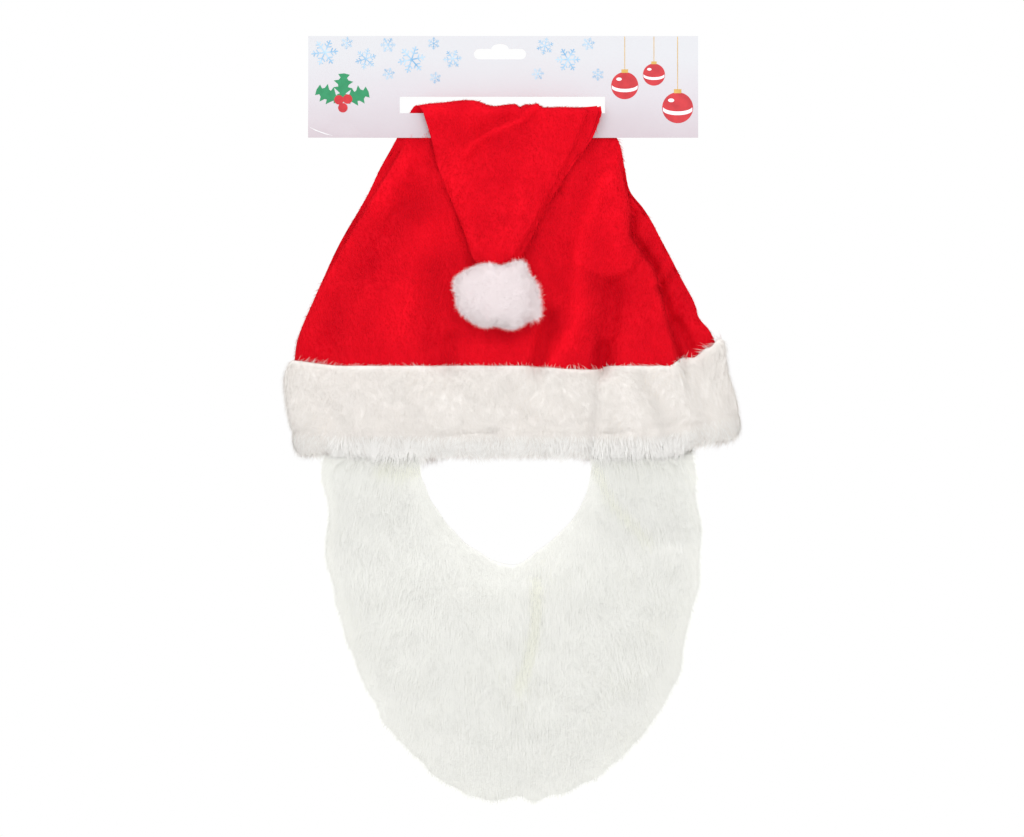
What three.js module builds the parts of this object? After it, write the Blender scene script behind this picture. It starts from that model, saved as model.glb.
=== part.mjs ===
// A plush santa hat with a fur beard, hanging on a plain header card.
// Millimetres, +Z up, the front faces -Y. The origin is the middle of the card's hang hole.
// The hat is a cloth cone, 290 wide lying flat and 360 long from hem to pompom. Its upper third is
// drawn from behind through the card's slot and folded down in front, so the pompom hangs on the crown.
import * as THREE from 'three';
import { mergeVertices } from 'three/addons/utils/BufferGeometryUtils.js';

// Driving dimensions

const GAP = 0.4; // between pieces that are sewn to each other or lie against each other

const CARD = { left: -121.5, right: 125.5, top: 11.5, bottom: -53, thick: 0.5 };
const HANG_HOLE = { width: 33, height: 6.6, humpWidth: 11, rise: 3.2 };
const SLOT = { left: -63.5, right: 66.5, top: -27, bottom: -37.4, corner: 1.5 };
const HOLE_SIDES = 4; // straight pieces in each round stretch of the two holes

const WALL = 2; // plush cloth of the crown, pile included
const FOLD_RADIUS = 5; // of the cloth's middle line round the top edge of the card's lower bar
const FOLD_STEPS = 6;
const FRONT_COLUMNS = 30; // strips across the front of the crown, where the folds are
const BACK_COLUMNS = 14;
const EDGE_CROWDING = 0.6; // 0 spaces the strips evenly, 1 crowds them fully to the two edges
const BODY_STEP = 12.5; // between the sections of the crown's body
const FLAP_STEP = 12; // between the sections of the tip that hangs in front

const CROWN_HEM = -246; // lower edge of the crown's cloth, inside the band
const BAND_TOP = -197.6;
const BAND_STEP = 12; // between the crown's sections behind the band
const CREASE_DEPTH = 3; // a crease reaches this far into the band's fur before it fades
const LIFT = { from: 95, to: 152, rise: 11, fadeFrom: -190, fadeTo: -120 }; // the right end hangs higher

const BEARD = {
  columns: 84, // strips along the beard, from arm to arm round the chin
  rows: 9, // strips across it, from the mouth to the outer edge
  stripsPerLock: 3,
  lockRise: 1.8, // how far a lock stands above its neighbours
  lockTip: 4, // how far it reaches past them at the outer edge
  tuckThick: 3.5, // of the two arms' ends inside the band
  edgeThick: 4.5, // of the fur at the cut edges
  midThick: 10, // of the fur in the middle
  domePower: 0.6, // how fast it thickens from the edges to the middle
  tuckBottom: -255, // below this the beard hangs free
  swellOver: 18, // the height in which the free fur reaches its full thickness
  hangFrom: -300, // below this it hangs in its own plane
  hangY: -11, // the back of the chin
  hangSweep: 6, // how far the sides lie behind the chin
  bandClear: 6.8, // of the tucked arms, inwards from the crown's outer face
};

const POMPOM = {
  x: -1.9,
  y: -37.6,
  z: -153.2,
  halfWidth: 28.8,
  halfDepth: 20.2,
  halfHeight: 22.2,
  tufts: 60,
  tuftReach: 0.3, // radians
  tuftRise: 0.1, // share of the radius
  detail: 5,
};

// Sections of the crown's body, from the hem up to the card: the cloth's left and right edge,
// the middle of its depth (y) and half its depth.
const BODY = [
  { z: -246, left: -124.5, right: 143.5, y: 1.5, half: 28 },
  { z: -225, left: -128, right: 143, y: 2, half: 28 },
  { z: -200, left: -129.3, right: 137, y: 2.5, half: 27 },
  { z: -180, left: -127.6, right: 131.5, y: 3, half: 25 },
  { z: -165, left: -122.2, right: 125.5, y: 3.3, half: 22.8 },
  { z: -142, left: -112, right: 114.6, y: 3.6, half: 18.8 },
  { z: -119, left: -101.3, right: 103, y: 4, half: 14.6 },
  { z: -97, left: -88.5, right: 90.5, y: 4.3, half: 10.6 },
  { z: -88, left: -83.5, right: 83.2, y: 4.5, half: 9 },
  { z: -73, left: -76.4, right: 79.3, y: 4.8, half: 6.6 },
  { z: -55, left: -66.5, right: 75.2, y: 5, half: 4.7 },
  { z: -37.4, left: -57.5, right: 63.5, y: 5, half: 4.2 },
];

// Sections of the tip, from the fold down to the pompom.
const FLAP = [
  { z: -37.4, left: -48.5, right: 63, y: -5, half: 4.2 },
  { z: -54, left: -43.5, right: 57.5, y: -6, half: 4.2 },
  { z: -70, left: -40, right: 46.5, y: -8.6, half: 4.4 },
  { z: -86, left: -33.7, right: 36.2, y: -12.2, half: 4.8 },
  { z: -101, left: -27.4, right: 27.3, y: -16.6, half: 5.2 },
  { z: -118, left: -21, right: 19.6, y: -22.4, half: 5.6 },
  { z: -127, left: -17.4, right: 13.8, y: -27.4, half: 5.4 },
  { z: -131.4, left: -12, right: 8.6, y: -31, half: 4 },
];

// Folds of the crown's front: a ridge (rise above 0) or a valley along a line, fading over its reach.
const FOLDS = [
  { name: 'seam ridge on the left', x1: -60, z1: -62, x2: -104, z2: -134, reach: 7, rise: 2.5 },
  { name: 'slack beside the seam', x1: -46, z1: -80, x2: -98, z2: -150, reach: 14, rise: -5 },
  { name: 'left gather', x1: -40, z1: -160, x2: -40, z2: -196, reach: 9, rise: -6 },
  { name: 'middle gather', x1: 33, z1: -168, x2: 23, z2: -196, reach: 8, rise: -5.5 },
  { name: 'long ridge', x1: 62, z1: -76, x2: 50, z2: -186, reach: 10, rise: 6 },
  { name: 'gather beside the ridge', x1: 77, z1: -146, x2: 65, z2: -196, reach: 9, rise: -8 },
  { name: 'pouch', x1: 73, z1: -102, x2: 80, z2: -132, reach: 11, rise: 5 },
  { name: 'upper pleat', x1: 84, z1: -100, x2: 104, z2: -143, reach: 8, rise: -9 },
  { name: 'lower pleat', x1: 104, z1: -143, x2: 119, z2: -192, reach: 9, rise: -11 },
];

// The band's fur face, down from its top edge over the stitched groove, round the hem and up inside the
// cloth's lower edge: how far down, and how far out from the crown's outer face.
const BAND_PROFILE = [
  { down: 0, out: 3.5 },
  { down: 3, out: 6.2 },
  { down: 12, out: 7.6 },
  { down: 27, out: 8 },
  { down: 39, out: 7.2 },
  { down: 43.5, out: 5.2 },
  { down: 47, out: 6.8 },
  { down: 53, out: 6.4 },
  { down: 56.8, out: 3.6 },
  { down: 57.6, out: 0 },
  { down: 56.5, out: -4 },
  { down: 50, out: -6.2 },
  { down: 42, out: -5.6 },
  { down: 41.5, out: -WALL - GAP },
  { down: 49.5, out: -WALL - GAP },
  { down: 49.5, out: GAP },
];

// Creases down the band's front, where it stands less far out.
const BAND_CREASES = [
  { name: 'left crease', x1: -41, z1: -200, x2: -54, z2: -238, reach: 9, rise: -2 },
  { name: 'middle crease', x1: 12, z1: -205, x2: 10, z2: -235, reach: 11, rise: -1.5 },
  { name: 'join of the fur', x1: 64, z1: -198, x2: 60, z2: -255, reach: 7, rise: -3 },
  { name: 'right lobe', x1: 124, z1: -198, x2: 132, z2: -250, reach: 7, rise: -3.5 },
];

// The beard's two cut edges, from the top of the left arm round to the top of the right arm.
const MOUTH_EDGE = [
  { x: -50, z: -240 },
  { x: -49.5, z: -266 },
  { x: -40, z: -287.5 },
  { x: -23.4, z: -307.7 },
  { x: -5, z: -320 },
  { x: 8, z: -323 },
  { x: 24, z: -314 },
  { x: 43.5, z: -297 },
  { x: 54.5, z: -277 },
  { x: 57.5, z: -240 },
];
const OUTER_EDGE = [
  { x: -106, z: -240 },
  { x: -111, z: -262 },
  { x: -109, z: -306 },
  { x: -97, z: -361 },
  { x: -79, z: -411 },
  { x: -44, z: -450 },
  { x: 8, z: -468.5 },
  { x: 55, z: -455 },
  { x: 92, z: -419 },
  { x: 115, z: -363 },
  { x: 123, z: -306 },
  { x: 121, z: -262 },
  { x: 118, z: -240 },
];

// Finishes

const RED_PLUSH = new THREE.MeshStandardMaterial({ color: 0xda0a1e, roughness: 0.85, metalness: 0 });
const WHITE_PLUSH = new THREE.MeshStandardMaterial({ color: 0xeeeae4, roughness: 0.9, metalness: 0 });
const BEARD_FUR = new THREE.MeshStandardMaterial({ color: 0xeeefe8, roughness: 0.9, metalness: 0 });
const POMPOM_FUR = new THREE.MeshStandardMaterial({ color: 0xf0e8e8, roughness: 0.9, metalness: 0 });
const COATED_CARD = new THREE.MeshStandardMaterial({ color: 0xeae4ec, roughness: 0.55, metalness: 0 });

// Helpers

const { lerp, clamp, smoothstep } = THREE.MathUtils;

/** Reads a table smoothly between its rows: the function gives the row at any value of the first column. */
function smoothTable(rows) {
  const [by, ...columns] = Object.keys(rows[0]);
  const sorted = [...rows].sort((a, b) => a[by] - b[by]);
  const curve = new THREE.CubicInterpolant(
    sorted.map((row) => row[by]),
    sorted.flatMap((row) => columns.map((key) => row[key])),
    columns.length,
    new Float64Array(columns.length),
  );
  return (value) => {
    const found = curve.evaluate(value);
    return Object.fromEntries([[by, value], ...columns.map((key, i) => [key, found[i]])]);
  };
}

/** How far the table's lines push the cloth out at (x, z). */
function riseOf(lines, x, z) {
  let sum = 0;
  for (const line of lines) {
    const dx = line.x2 - line.x1;
    const dz = line.z2 - line.z1;
    const along = clamp(((x - line.x1) * dx + (z - line.z1) * dz) / (dx * dx + dz * dz), 0, 1);
    const away = Math.hypot(x - line.x1 - along * dx, z - line.z1 - along * dz);
    sum += line.rise * Math.exp(-((away / line.reach) ** 2));
  }
  return sum;
}

/** Numbers from start to end in equal steps of about the given size, both ends included. */
function steps(start, end, size) {
  const count = Math.max(1, Math.round(Math.abs(end - start) / size));
  return Array.from({ length: count + 1 }, (_, i) => lerp(start, end, i / count));
}

/** The points and faces of one closed surface. */
class Surface {
  points = [];
  faces = [];

  add(point) {
    this.points.push(point);
    return this.points.length - 1;
  }

  addRow(points) {
    return points.map((point) => this.add(point));
  }

  /** Faces between two rows of one length; a closed row joins its end to its start. */
  strip(low, high, closed) {
    const last = closed ? low.length : low.length - 1;
    for (let i = 0; i < last; i += 1) {
      const j = (i + 1) % low.length;
      this.faces.push([low[i], low[j], high[j]], [low[i], high[j], high[i]]);
    }
  }

  /** Faces from a closed row to one point in its middle. */
  fan(row, middle) {
    row.forEach((corner, i) => this.faces.push([corner, row[(i + 1) % row.length], middle]));
  }

  volume() {
    const cross = new THREE.Vector3();
    return this.faces.reduce((sum, [a, b, c]) => {
      cross.crossVectors(this.points[b], this.points[c]);
      return sum + this.points[a].dot(cross) / 6;
    }, 0);
  }

  /** The surface as a geometry, with its faces pointing outwards. */
  geometry() {
    const outwards = this.volume() > 0 ? this.faces : this.faces.map(([a, b, c]) => [a, c, b]);
    const made = new THREE.BufferGeometry().setFromPoints(this.points);
    made.setIndex(outwards.flat());
    made.computeVertexNormals();
    return made;
  }
}

// The hat's form, which the crown, the band and the beard's arms share

const bodyAt = smoothTable(BODY);
const flapAt = smoothTable(FLAP);

/** Places across a section lie closer together near its two edges, where it turns most. */
function edgeCrowded(u) {
  return lerp(u, Math.sin((u * Math.PI) / 2), EDGE_CROWDING);
}

/** Places round a section: from its left edge along the front to its right edge, and back behind. */
const AROUND = [
  ...steps(-1, 1, 2 / FRONT_COLUMNS).map((u) => ({ u: edgeCrowded(u), side: 1 })),
  ...steps(1, -1, 2 / BACK_COLUMNS).slice(1, -1).map((u) => ({ u: edgeCrowded(u), side: -1 })),
];

/** Where a place of a section lies, at a distance out from the crown's outer face. */
function acrossSection(row, place, out) {
  const middle = (row.left + row.right) / 2;
  const halfWidth = (row.right - row.left) / 2;
  const swell = Math.sqrt(1 - place.u ** 2);
  return {
    x: middle + place.u * (halfWidth + out),
    clothX: middle + place.u * halfWidth,
    depth: place.side * (row.half + out) * swell,
    swell,
  };
}

/** How much higher the hat hangs at x, towards its right end. */
function liftAt(x, z) {
  return LIFT.rise * smoothstep(x, LIFT.from, LIFT.to) * (1 - smoothstep(z, LIFT.fadeFrom, LIFT.fadeTo));
}

/** A point of the hat's body, with the folds of its front. */
function bodyPoint(z, place, out) {
  const row = bodyAt(z);
  const { x, clothX, depth, swell } = acrossSection(row, place, out);
  const folds = place.side > 0 ? riseOf(FOLDS, clothX, z) * swell : 0;
  return new THREE.Vector3(x, row.y - depth - folds, z + liftAt(x, z));
}

/** A point of the tip, whose sections turn over the card: slope is the turn from the upright body. */
function turnedPoint(row, slope, place, out) {
  const { x, depth } = acrossSection(row, place, out);
  return new THREE.Vector3(x, row.y - depth * Math.cos(slope), row.z - depth * Math.sin(slope));
}

// Crown: one cloth cone, hollow from the hem to the tip

const BAND_LEVELS = steps(CROWN_HEM, BAND_TOP, BAND_STEP);

/** Each section as a function of the place round it and the distance out, from the hem to the tip. */
function crownSections() {
  const levels = [...BAND_LEVELS, ...steps(BAND_TOP, SLOT.bottom, BODY_STEP).slice(1)];
  const body = levels.map((z) => (place, out) => bodyPoint(z, place, out));
  const start = BODY.at(-1);
  const end = FLAP[0];
  const fold = steps(0, 1, 1 / FOLD_STEPS).slice(1, -1).map((share) => {
    const slope = share * Math.PI;
    const row = {
      left: lerp(start.left, end.left, share),
      right: lerp(start.right, end.right, share),
      half: lerp(start.half, end.half, share),
      y: FOLD_RADIUS * Math.cos(slope),
      z: SLOT.bottom + FOLD_RADIUS * Math.sin(slope),
    };
    return (place, out) => turnedPoint(row, slope, place, out);
  });
  const tip = FLAP.at(-1);
  const flap = steps(SLOT.bottom, tip.z, FLAP_STEP).map((z) => {
    const above = flapAt(Math.min(z + 1, SLOT.bottom));
    const below = flapAt(Math.max(z - 1, tip.z));
    const slope = Math.atan2(above.y - below.y, below.z - above.z);
    return (place, out) => turnedPoint(flapAt(z), slope, place, out);
  });
  return [...body, ...fold, ...flap];
}

function crownGeometry() {
  const cloth = new Surface();
  const sections = crownSections();
  const face = (out) => sections.map((at) => cloth.addRow(AROUND.map((place) => at(place, out))));
  const outer = face(0);
  const inner = face(-WALL);
  for (let i = 0; i + 1 < sections.length; i += 1) {
    cloth.strip(outer[i], outer[i + 1], true);
    cloth.strip(inner[i + 1], inner[i], true);
  }
  cloth.strip(inner[0], outer[0], true);
  const tip = FLAP.at(-1);
  const tipEnd = new THREE.Vector3((tip.left + tip.right) / 2, tip.y, tip.z);
  const tipInside = tipEnd.clone().add(new THREE.Vector3(0, WALL / 2, WALL));
  cloth.fan(outer.at(-1), cloth.add(tipEnd));
  cloth.fan(inner.at(-1).reverse(), cloth.add(tipInside));
  return cloth.geometry();
}

// Fur band: a cuff round the crown, hemmed over the cloth's lower edge

function bandGeometry() {
  const fur = new Surface();
  const face = BAND_PROFILE.map(({ down, out }) => ({ z: BAND_TOP - down, out }));
  const againstCloth = BAND_LEVELS.map((z) => ({ z, out: GAP }));
  const rings = [...face, ...againstCloth].map(({ z, out }) => {
    const standsOut = smoothstep(out, GAP, GAP + CREASE_DEPTH);
    return fur.addRow(AROUND.map((place) => {
      const { clothX } = acrossSection(bodyAt(z), place, out);
      const creases = place.side > 0 ? riseOf(BAND_CREASES, clothX, z) * standsOut : 0;
      return bodyPoint(z, place, out + creases);
    }));
  });
  rings.forEach((ring, i) => fur.strip(ring, rings[(i + 1) % rings.length], true));
  return fur.geometry();
}

// Beard: a U of long fur on a flat backing, with its two arms tucked up inside the band

/** The back of the beard at (x, z): against the band where it is tucked in, in its own plane below. */
function beardBackY(x, z) {
  const row = bodyAt(CROWN_HEM);
  const middle = (row.left + row.right) / 2;
  const u = clamp((x - middle) / ((row.right - row.left) / 2 - BEARD.bandClear), -1, 1);
  const tucked = row.y - (row.half - BEARD.bandClear) * Math.sqrt(1 - u ** 2) + BEARD.tuckThick;
  const hanging = BEARD.hangY + BEARD.hangSweep * u ** 2;
  return lerp(hanging, tucked, smoothstep(z, BEARD.hangFrom, BEARD.tuckBottom));
}

/** How thick the fur is at a share of the way from the mouth to the outer edge. */
function beardThickness(share, z, lock) {
  const dome = Math.sin(share * Math.PI) ** BEARD.domePower;
  const free = lerp(BEARD.edgeThick, BEARD.midThick, dome) + BEARD.lockRise * lock * dome;
  const tucked = smoothstep(z, BEARD.tuckBottom - BEARD.swellOver, BEARD.tuckBottom);
  return lerp(free, BEARD.tuckThick, tucked);
}

/** A closed row round one strip of the beard: along its front and back behind. */
function beardStrip(mouthEnd, outerEnd, lock) {
  const tip = outerEnd.clone().sub(mouthEnd).setLength(BEARD.lockTip * Math.max(lock, 0));
  const end = outerEnd.clone().add(tip);
  const shares = steps(0, 1, 1 / BEARD.rows);
  const back = shares.map((share) => {
    const place = mouthEnd.clone().lerp(end, share);
    return new THREE.Vector3(place.x, beardBackY(place.x, place.y), place.y);
  });
  const front = back.map(({ x, y, z }, i) => {
    return new THREE.Vector3(x, y - beardThickness(shares[i], z, lock), z);
  });
  return { front, back };
}

function beardGeometry() {
  const fur = new Surface();
  const [mouth, outer] = [MOUTH_EDGE, OUTER_EDGE].map((rows) => {
    const curve = new THREE.SplineCurve(rows.map(({ x, z }) => new THREE.Vector2(x, z)));
    return curve.getSpacedPoints(BEARD.columns);
  });
  const strips = mouth.map((mouthEnd, column) => {
    const lock = column % BEARD.stripsPerLock === 0 ? 1 : -0.5;
    const { front, back } = beardStrip(mouthEnd, outer[column], lock);
    return { front: fur.addRow(front), back: fur.addRow(back) };
  });
  const loops = strips.map(({ front, back }) => [...front, ...back.toReversed()]);
  for (let i = 0; i + 1 < loops.length; i += 1) {
    fur.strip(loops[i], loops[i + 1], true);
  }
  fur.strip(strips[0].back, strips[0].front, false);
  fur.strip(strips.at(-1).front, strips.at(-1).back, false);
  return fur.geometry();
}

// Pompom: a ball of fur tufts on the crown's tip

function pompomGeometry() {
  const ball = new THREE.IcosahedronGeometry(1, POMPOM.detail);
  ball.deleteAttribute('normal');
  ball.deleteAttribute('uv');
  const made = mergeVertices(ball);
  const goldenTurn = Math.PI * (3 - Math.sqrt(5));
  const tufts = Array.from({ length: POMPOM.tufts }, (_, i) => {
    const height = 1 - (2 * i + 1) / POMPOM.tufts;
    return new THREE.Vector3().setFromCylindricalCoords(Math.sqrt(1 - height ** 2), i * goldenTurn, height);
  });
  const corners = made.getAttribute('position');
  const half = new THREE.Vector3(POMPOM.halfWidth, POMPOM.halfDepth, POMPOM.halfHeight);
  for (let i = 0; i < corners.count; i += 1) {
    const way = new THREE.Vector3().fromBufferAttribute(corners, i);
    const nearest = Math.min(...tufts.map((tuft) => tuft.angleTo(way)));
    const radius = 1 - POMPOM.tuftRise * smoothstep(nearest, 0, POMPOM.tuftReach);
    const point = way.multiplyScalar(radius).multiply(half);
    corners.setXYZ(i, point.x, point.y, point.z);
  }
  made.computeVertexNormals();
  return made;
}

// Header card: thin coated card with a hang hole and a slot, whose lower bar the hat hangs over

/** A slot with round ends and a hump in the middle of its top, centred on the origin. */
function hangHolePath() {
  const { width, height, humpWidth, rise } = HANG_HOLE;
  const end = height / 2;
  const straight = width / 2 - end;
  const path = new THREE.Path();
  path.moveTo(-straight, -end);
  path.lineTo(straight, -end);
  path.absarc(straight, 0, end, -Math.PI / 2, Math.PI / 2, false);
  path.lineTo(humpWidth / 2, end);
  path.quadraticCurveTo(humpWidth / 4, end + rise, 0, end + rise);
  path.quadraticCurveTo(-humpWidth / 4, end + rise, -humpWidth / 2, end);
  path.lineTo(-straight, end);
  path.absarc(-straight, 0, end, Math.PI / 2, (3 * Math.PI) / 2, false);
  return path;
}

function slotPath() {
  const { left, right, top, bottom, corner } = SLOT;
  const path = new THREE.Path();
  path.moveTo(left + corner, bottom);
  path.lineTo(right - corner, bottom);
  path.absarc(right - corner, bottom + corner, corner, -Math.PI / 2, 0, false);
  path.absarc(right - corner, top - corner, corner, 0, Math.PI / 2, false);
  path.absarc(left + corner, top - corner, corner, Math.PI / 2, Math.PI, false);
  path.absarc(left + corner, bottom + corner, corner, Math.PI, (3 * Math.PI) / 2, false);
  return path;
}

function cardGeometry() {
  const outline = new THREE.Shape();
  outline.moveTo(CARD.left, CARD.bottom);
  outline.lineTo(CARD.right, CARD.bottom);
  outline.lineTo(CARD.right, CARD.top);
  outline.lineTo(CARD.left, CARD.top);
  outline.closePath();
  outline.holes.push(hangHolePath(), slotPath());
  const options = { depth: CARD.thick, bevelEnabled: false, curveSegments: HOLE_SIDES };
  const card = new THREE.ExtrudeGeometry(outline, options);
  card.translate(0, 0, -CARD.thick / 2);
  card.rotateX(Math.PI / 2);
  card.deleteAttribute('normal');
  card.deleteAttribute('uv');
  const made = mergeVertices(card);
  made.computeVertexNormals();
  return made;
}

// The assembly

function piece(name, geometry, material) {
  const mesh = new THREE.Mesh(geometry, material);
  mesh.name = name;
  return mesh;
}

const santaHat = new THREE.Group();
santaHat.name = 'santa_hat_with_beard';
const pompom = piece('pompom', pompomGeometry(), POMPOM_FUR);
pompom.position.set(POMPOM.x, POMPOM.y, POMPOM.z);
santaHat.add(
  piece('header_card', cardGeometry(), COATED_CARD),
  piece('crown', crownGeometry(), RED_PLUSH),
  piece('fur_band', bandGeometry(), WHITE_PLUSH),
  piece('beard', beardGeometry(), BEARD_FUR),
  pompom,
);

export default santaHat;
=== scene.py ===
# %% [markdown]
# # A santa hat with a beard, hung on its header card
# The hat is a cone of red plush cloth with a cuff of white fur, a pompom on its tip and a fur beard
# that is sewn into the cuff. It hangs in a shop by its own top, which is pushed through a slot in a
# printed card and folded over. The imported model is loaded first, and every piece is built in its
# frame, in metres.

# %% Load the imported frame
import math
from collections import namedtuple

import bmesh
import bpy
import numpy as np
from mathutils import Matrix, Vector
from mathutils.geometry import delaunay_2d_cdt


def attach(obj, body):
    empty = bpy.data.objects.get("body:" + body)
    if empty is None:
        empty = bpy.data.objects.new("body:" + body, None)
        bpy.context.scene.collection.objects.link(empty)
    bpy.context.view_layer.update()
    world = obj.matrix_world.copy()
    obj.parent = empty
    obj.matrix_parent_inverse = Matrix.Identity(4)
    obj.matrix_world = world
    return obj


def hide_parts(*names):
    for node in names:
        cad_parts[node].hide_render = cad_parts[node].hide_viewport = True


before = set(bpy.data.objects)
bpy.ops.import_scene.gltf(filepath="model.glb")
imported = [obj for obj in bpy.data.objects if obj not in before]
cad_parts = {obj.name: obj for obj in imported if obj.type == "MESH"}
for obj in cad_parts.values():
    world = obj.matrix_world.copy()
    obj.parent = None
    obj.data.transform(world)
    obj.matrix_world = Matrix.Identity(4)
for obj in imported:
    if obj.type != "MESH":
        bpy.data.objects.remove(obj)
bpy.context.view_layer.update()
print("nodes:", ", ".join(sorted(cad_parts)))

# %% [markdown]
# ## Camera
# A product picture is taken square on and from far away, so that the card stays a rectangle. A long
# lens three metres off does the same here. The picture's scale comes from the hat's stated width,
# which is measured across the cuff.

# %% Camera
PICTURE_WIDTH = 1024
PICTURE_HEIGHT = 837
CUFF_WIDTH = 0.290
CUFF_PIXELS = 458
METRES_PER_PIXEL = CUFF_WIDTH / CUFF_PIXELS
HOOK_PIXEL = (500, 54)
CAMERA_DISTANCE = 3.0
SENSOR_WIDTH = 36


def add_object(name, data):
    """A new object in the scene, at the origin."""
    made = bpy.data.objects.new(name, data)
    bpy.context.collection.objects.link(made)
    return made


camera_data = bpy.data.cameras.new("shop_camera")
camera_data.sensor_fit = "HORIZONTAL"
camera_data.sensor_width = SENSOR_WIDTH
camera_data.lens = SENSOR_WIDTH * CAMERA_DISTANCE / (PICTURE_WIDTH * METRES_PER_PIXEL)
camera = add_object("shop_camera", camera_data)
camera.location = (
    (PICTURE_WIDTH / 2 - HOOK_PIXEL[0]) * METRES_PER_PIXEL,
    -CAMERA_DISTANCE,
    (HOOK_PIXEL[1] - PICTURE_HEIGHT / 2) * METRES_PER_PIXEL,
)
camera.rotation_euler = (math.pi / 2, 0, 0)
bpy.context.scene.camera = camera
print("lens:", round(camera_data.lens, 1), "mm")

# %% [markdown]
# ## Node helpers
# Shader trees and geometry trees are built the same way: add a node, set its options, then either
# link an input or give it a value. One helper does that for both kinds of tree. Two more start a
# material, and blend between a few tones.

# %% Node helpers
def add_node(tree, kind, inputs=None, **options):
    """A new node with its options set. An input is a socket to link or a plain value."""
    node = tree.nodes.new(kind)
    for name, value in options.items():
        setattr(node, name, value)
    for name, value in (inputs or {}).items():
        if isinstance(value, bpy.types.NodeSocket):
            tree.links.new(value, node.inputs[name])
        else:
            node.inputs[name].default_value = value
    return node


def start_material(name, roughness, gloss):
    """A new material, its tree and its shader."""
    material = bpy.data.materials.new(name)
    material.use_nodes = True
    shader = material.node_tree.nodes["Principled BSDF"]
    shader.inputs["Roughness"].default_value = roughness
    shader.inputs["Specular IOR Level"].default_value = gloss
    return material, material.node_tree, shader


def blend_tones(tree, share, tones):
    """The colour at a share from 0 to 1, between tones that are given as pairs of share and colour."""
    ramp = add_node(tree, "ShaderNodeValToRGB", {"Fac": share})
    stops = ramp.color_ramp.elements
    for _ in tones[2:]:
        stops.new(0.5)
    for stop, (place, colour) in zip(stops, tones):
        stop.position = place
        stop.color = (*colour, 1)
    return ramp.outputs["Color"]


print("node helpers ready")

# %% [markdown]
# ## Light and floor
# The picture is a cut-out on white under very soft light. The world is plain white to the eye and a
# touch brighter as a light, and two big soft lamps in front give the folds their gentle shade. The
# floor lies below the beard, out of the picture, so that nothing stands in the view from the front.

# %% White world
WORLD_LIGHT = 1.05
WHITE = (1, 1, 1, 1)

scene = bpy.context.scene
scene.view_settings.view_transform = "Standard"
scene.view_settings.look = "None"
world = bpy.data.worlds.new("white_studio")
world.use_nodes = True
scene.world = world
world_tree = world.node_tree
seen_or_lit = add_node(world_tree, "ShaderNodeLightPath")
lit = world_tree.nodes["Background"]
lit.inputs["Color"].default_value = WHITE
lit.inputs["Strength"].default_value = WORLD_LIGHT
seen = add_node(world_tree, "ShaderNodeBackground", {"Color": WHITE, "Strength": 1.0})
both = add_node(world_tree, "ShaderNodeMixShader", {0: seen_or_lit.outputs["Is Camera Ray"]})
world_tree.links.new(lit.outputs["Background"], both.inputs[1])
world_tree.links.new(seen.outputs["Background"], both.inputs[2])
world_tree.links.new(both.outputs["Shader"], world_tree.nodes["World Output"].inputs["Surface"])
print("world light:", WORLD_LIGHT)

# %% Lamps and floor
FLOOR_GREY = (0.82, 0.82, 0.82, 1)
FLOOR_HEIGHT = -0.66
FLOOR_SIZE = 3.0


def soft_lamp(name, place, aim, power, size):
    """A square lamp that shines from its place towards the aim."""
    lamp = bpy.data.lights.new(name, "AREA")
    lamp.energy = power
    lamp.size = size
    lamp_object = add_object(name, lamp)
    lamp_object.location = place
    lamp_object.rotation_euler = (Vector(aim) - Vector(place)).to_track_quat("-Z", "Y").to_euler()


soft_lamp("key_lamp", place=(0.5, -2.4, 0.6), aim=(0, 0, -0.2), power=12, size=1.0)
soft_lamp("fill_lamp", place=(-1.2, -2.0, 0.3), aim=(0, 0, -0.25), power=6, size=1.2)

bpy.ops.mesh.primitive_plane_add(size=FLOOR_SIZE, location=(0, 0, FLOOR_HEIGHT))
floor = bpy.context.object
floor.name = "pale_floor"
floor_paint, _, floor_shader = start_material("pale_floor_paint", roughness=0.8, gloss=0.5)
floor_shader.inputs["Base Color"].default_value = FLOOR_GREY
floor.data.materials.append(floor_paint)
print("floor at", FLOOR_HEIGHT, "m")

# %% [markdown]
# ## Shapes from tables
# Sewn cloth is easiest to describe by a few cuts across it: where its left and right edges are, how
# far it bulges and how far it stands from the card. These helpers draw smooth curves through such a
# table, and turn rows of points into a mesh.

# %% Curves through tables
WAVE_SPREAD = (0.7, 1.5)


def smooth_step(low, high, value):
    """0 below low, 1 above high, and an easy curve between."""
    share = np.clip((value - low) / (high - low), 0, 1)
    return share * share * (3 - 2 * share)


def smooth_rows(rows, at):
    """The table's other columns where its first column is `at`, on a smooth curve through the rows."""
    table = np.array(sorted(tuple(row) for row in rows), float)
    keys = table[:, 0]
    values = table[:, 1:]
    slopes = np.gradient(values, keys, axis=0)
    at = np.clip(np.asarray(at, float), keys[0], keys[-1])
    low = np.clip(np.searchsorted(keys, at, side="right") - 1, 0, len(keys) - 2)
    step = (keys[low + 1] - keys[low])[..., None]
    t = (at - keys[low])[..., None] / step
    start = (1 + 2 * t) * (1 - t) ** 2 * values[low] + t * (1 - t) ** 2 * step * slopes[low]
    end = t * t * (3 - 2 * t) * values[low + 1] + t * t * (t - 1) * step * slopes[low + 1]
    return start + end


def hills(points, wavelength, seed, waves=10):
    """Soft random hills over points in space, mostly between -1 and 1."""
    draw = np.random.default_rng(seed)
    ways = draw.normal(size=(waves, 3))
    pace = 2 * np.pi / wavelength * draw.uniform(*WAVE_SPREAD, waves)
    ways *= (pace / np.linalg.norm(ways, axis=1))[:, None]
    turns = points @ ways.T + draw.uniform(0, 2 * np.pi, waves)
    return np.sin(turns).sum(-1) / math.sqrt(waves)


print("halfway up a smooth step:", smooth_step(0, 1, 0.5))

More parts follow.
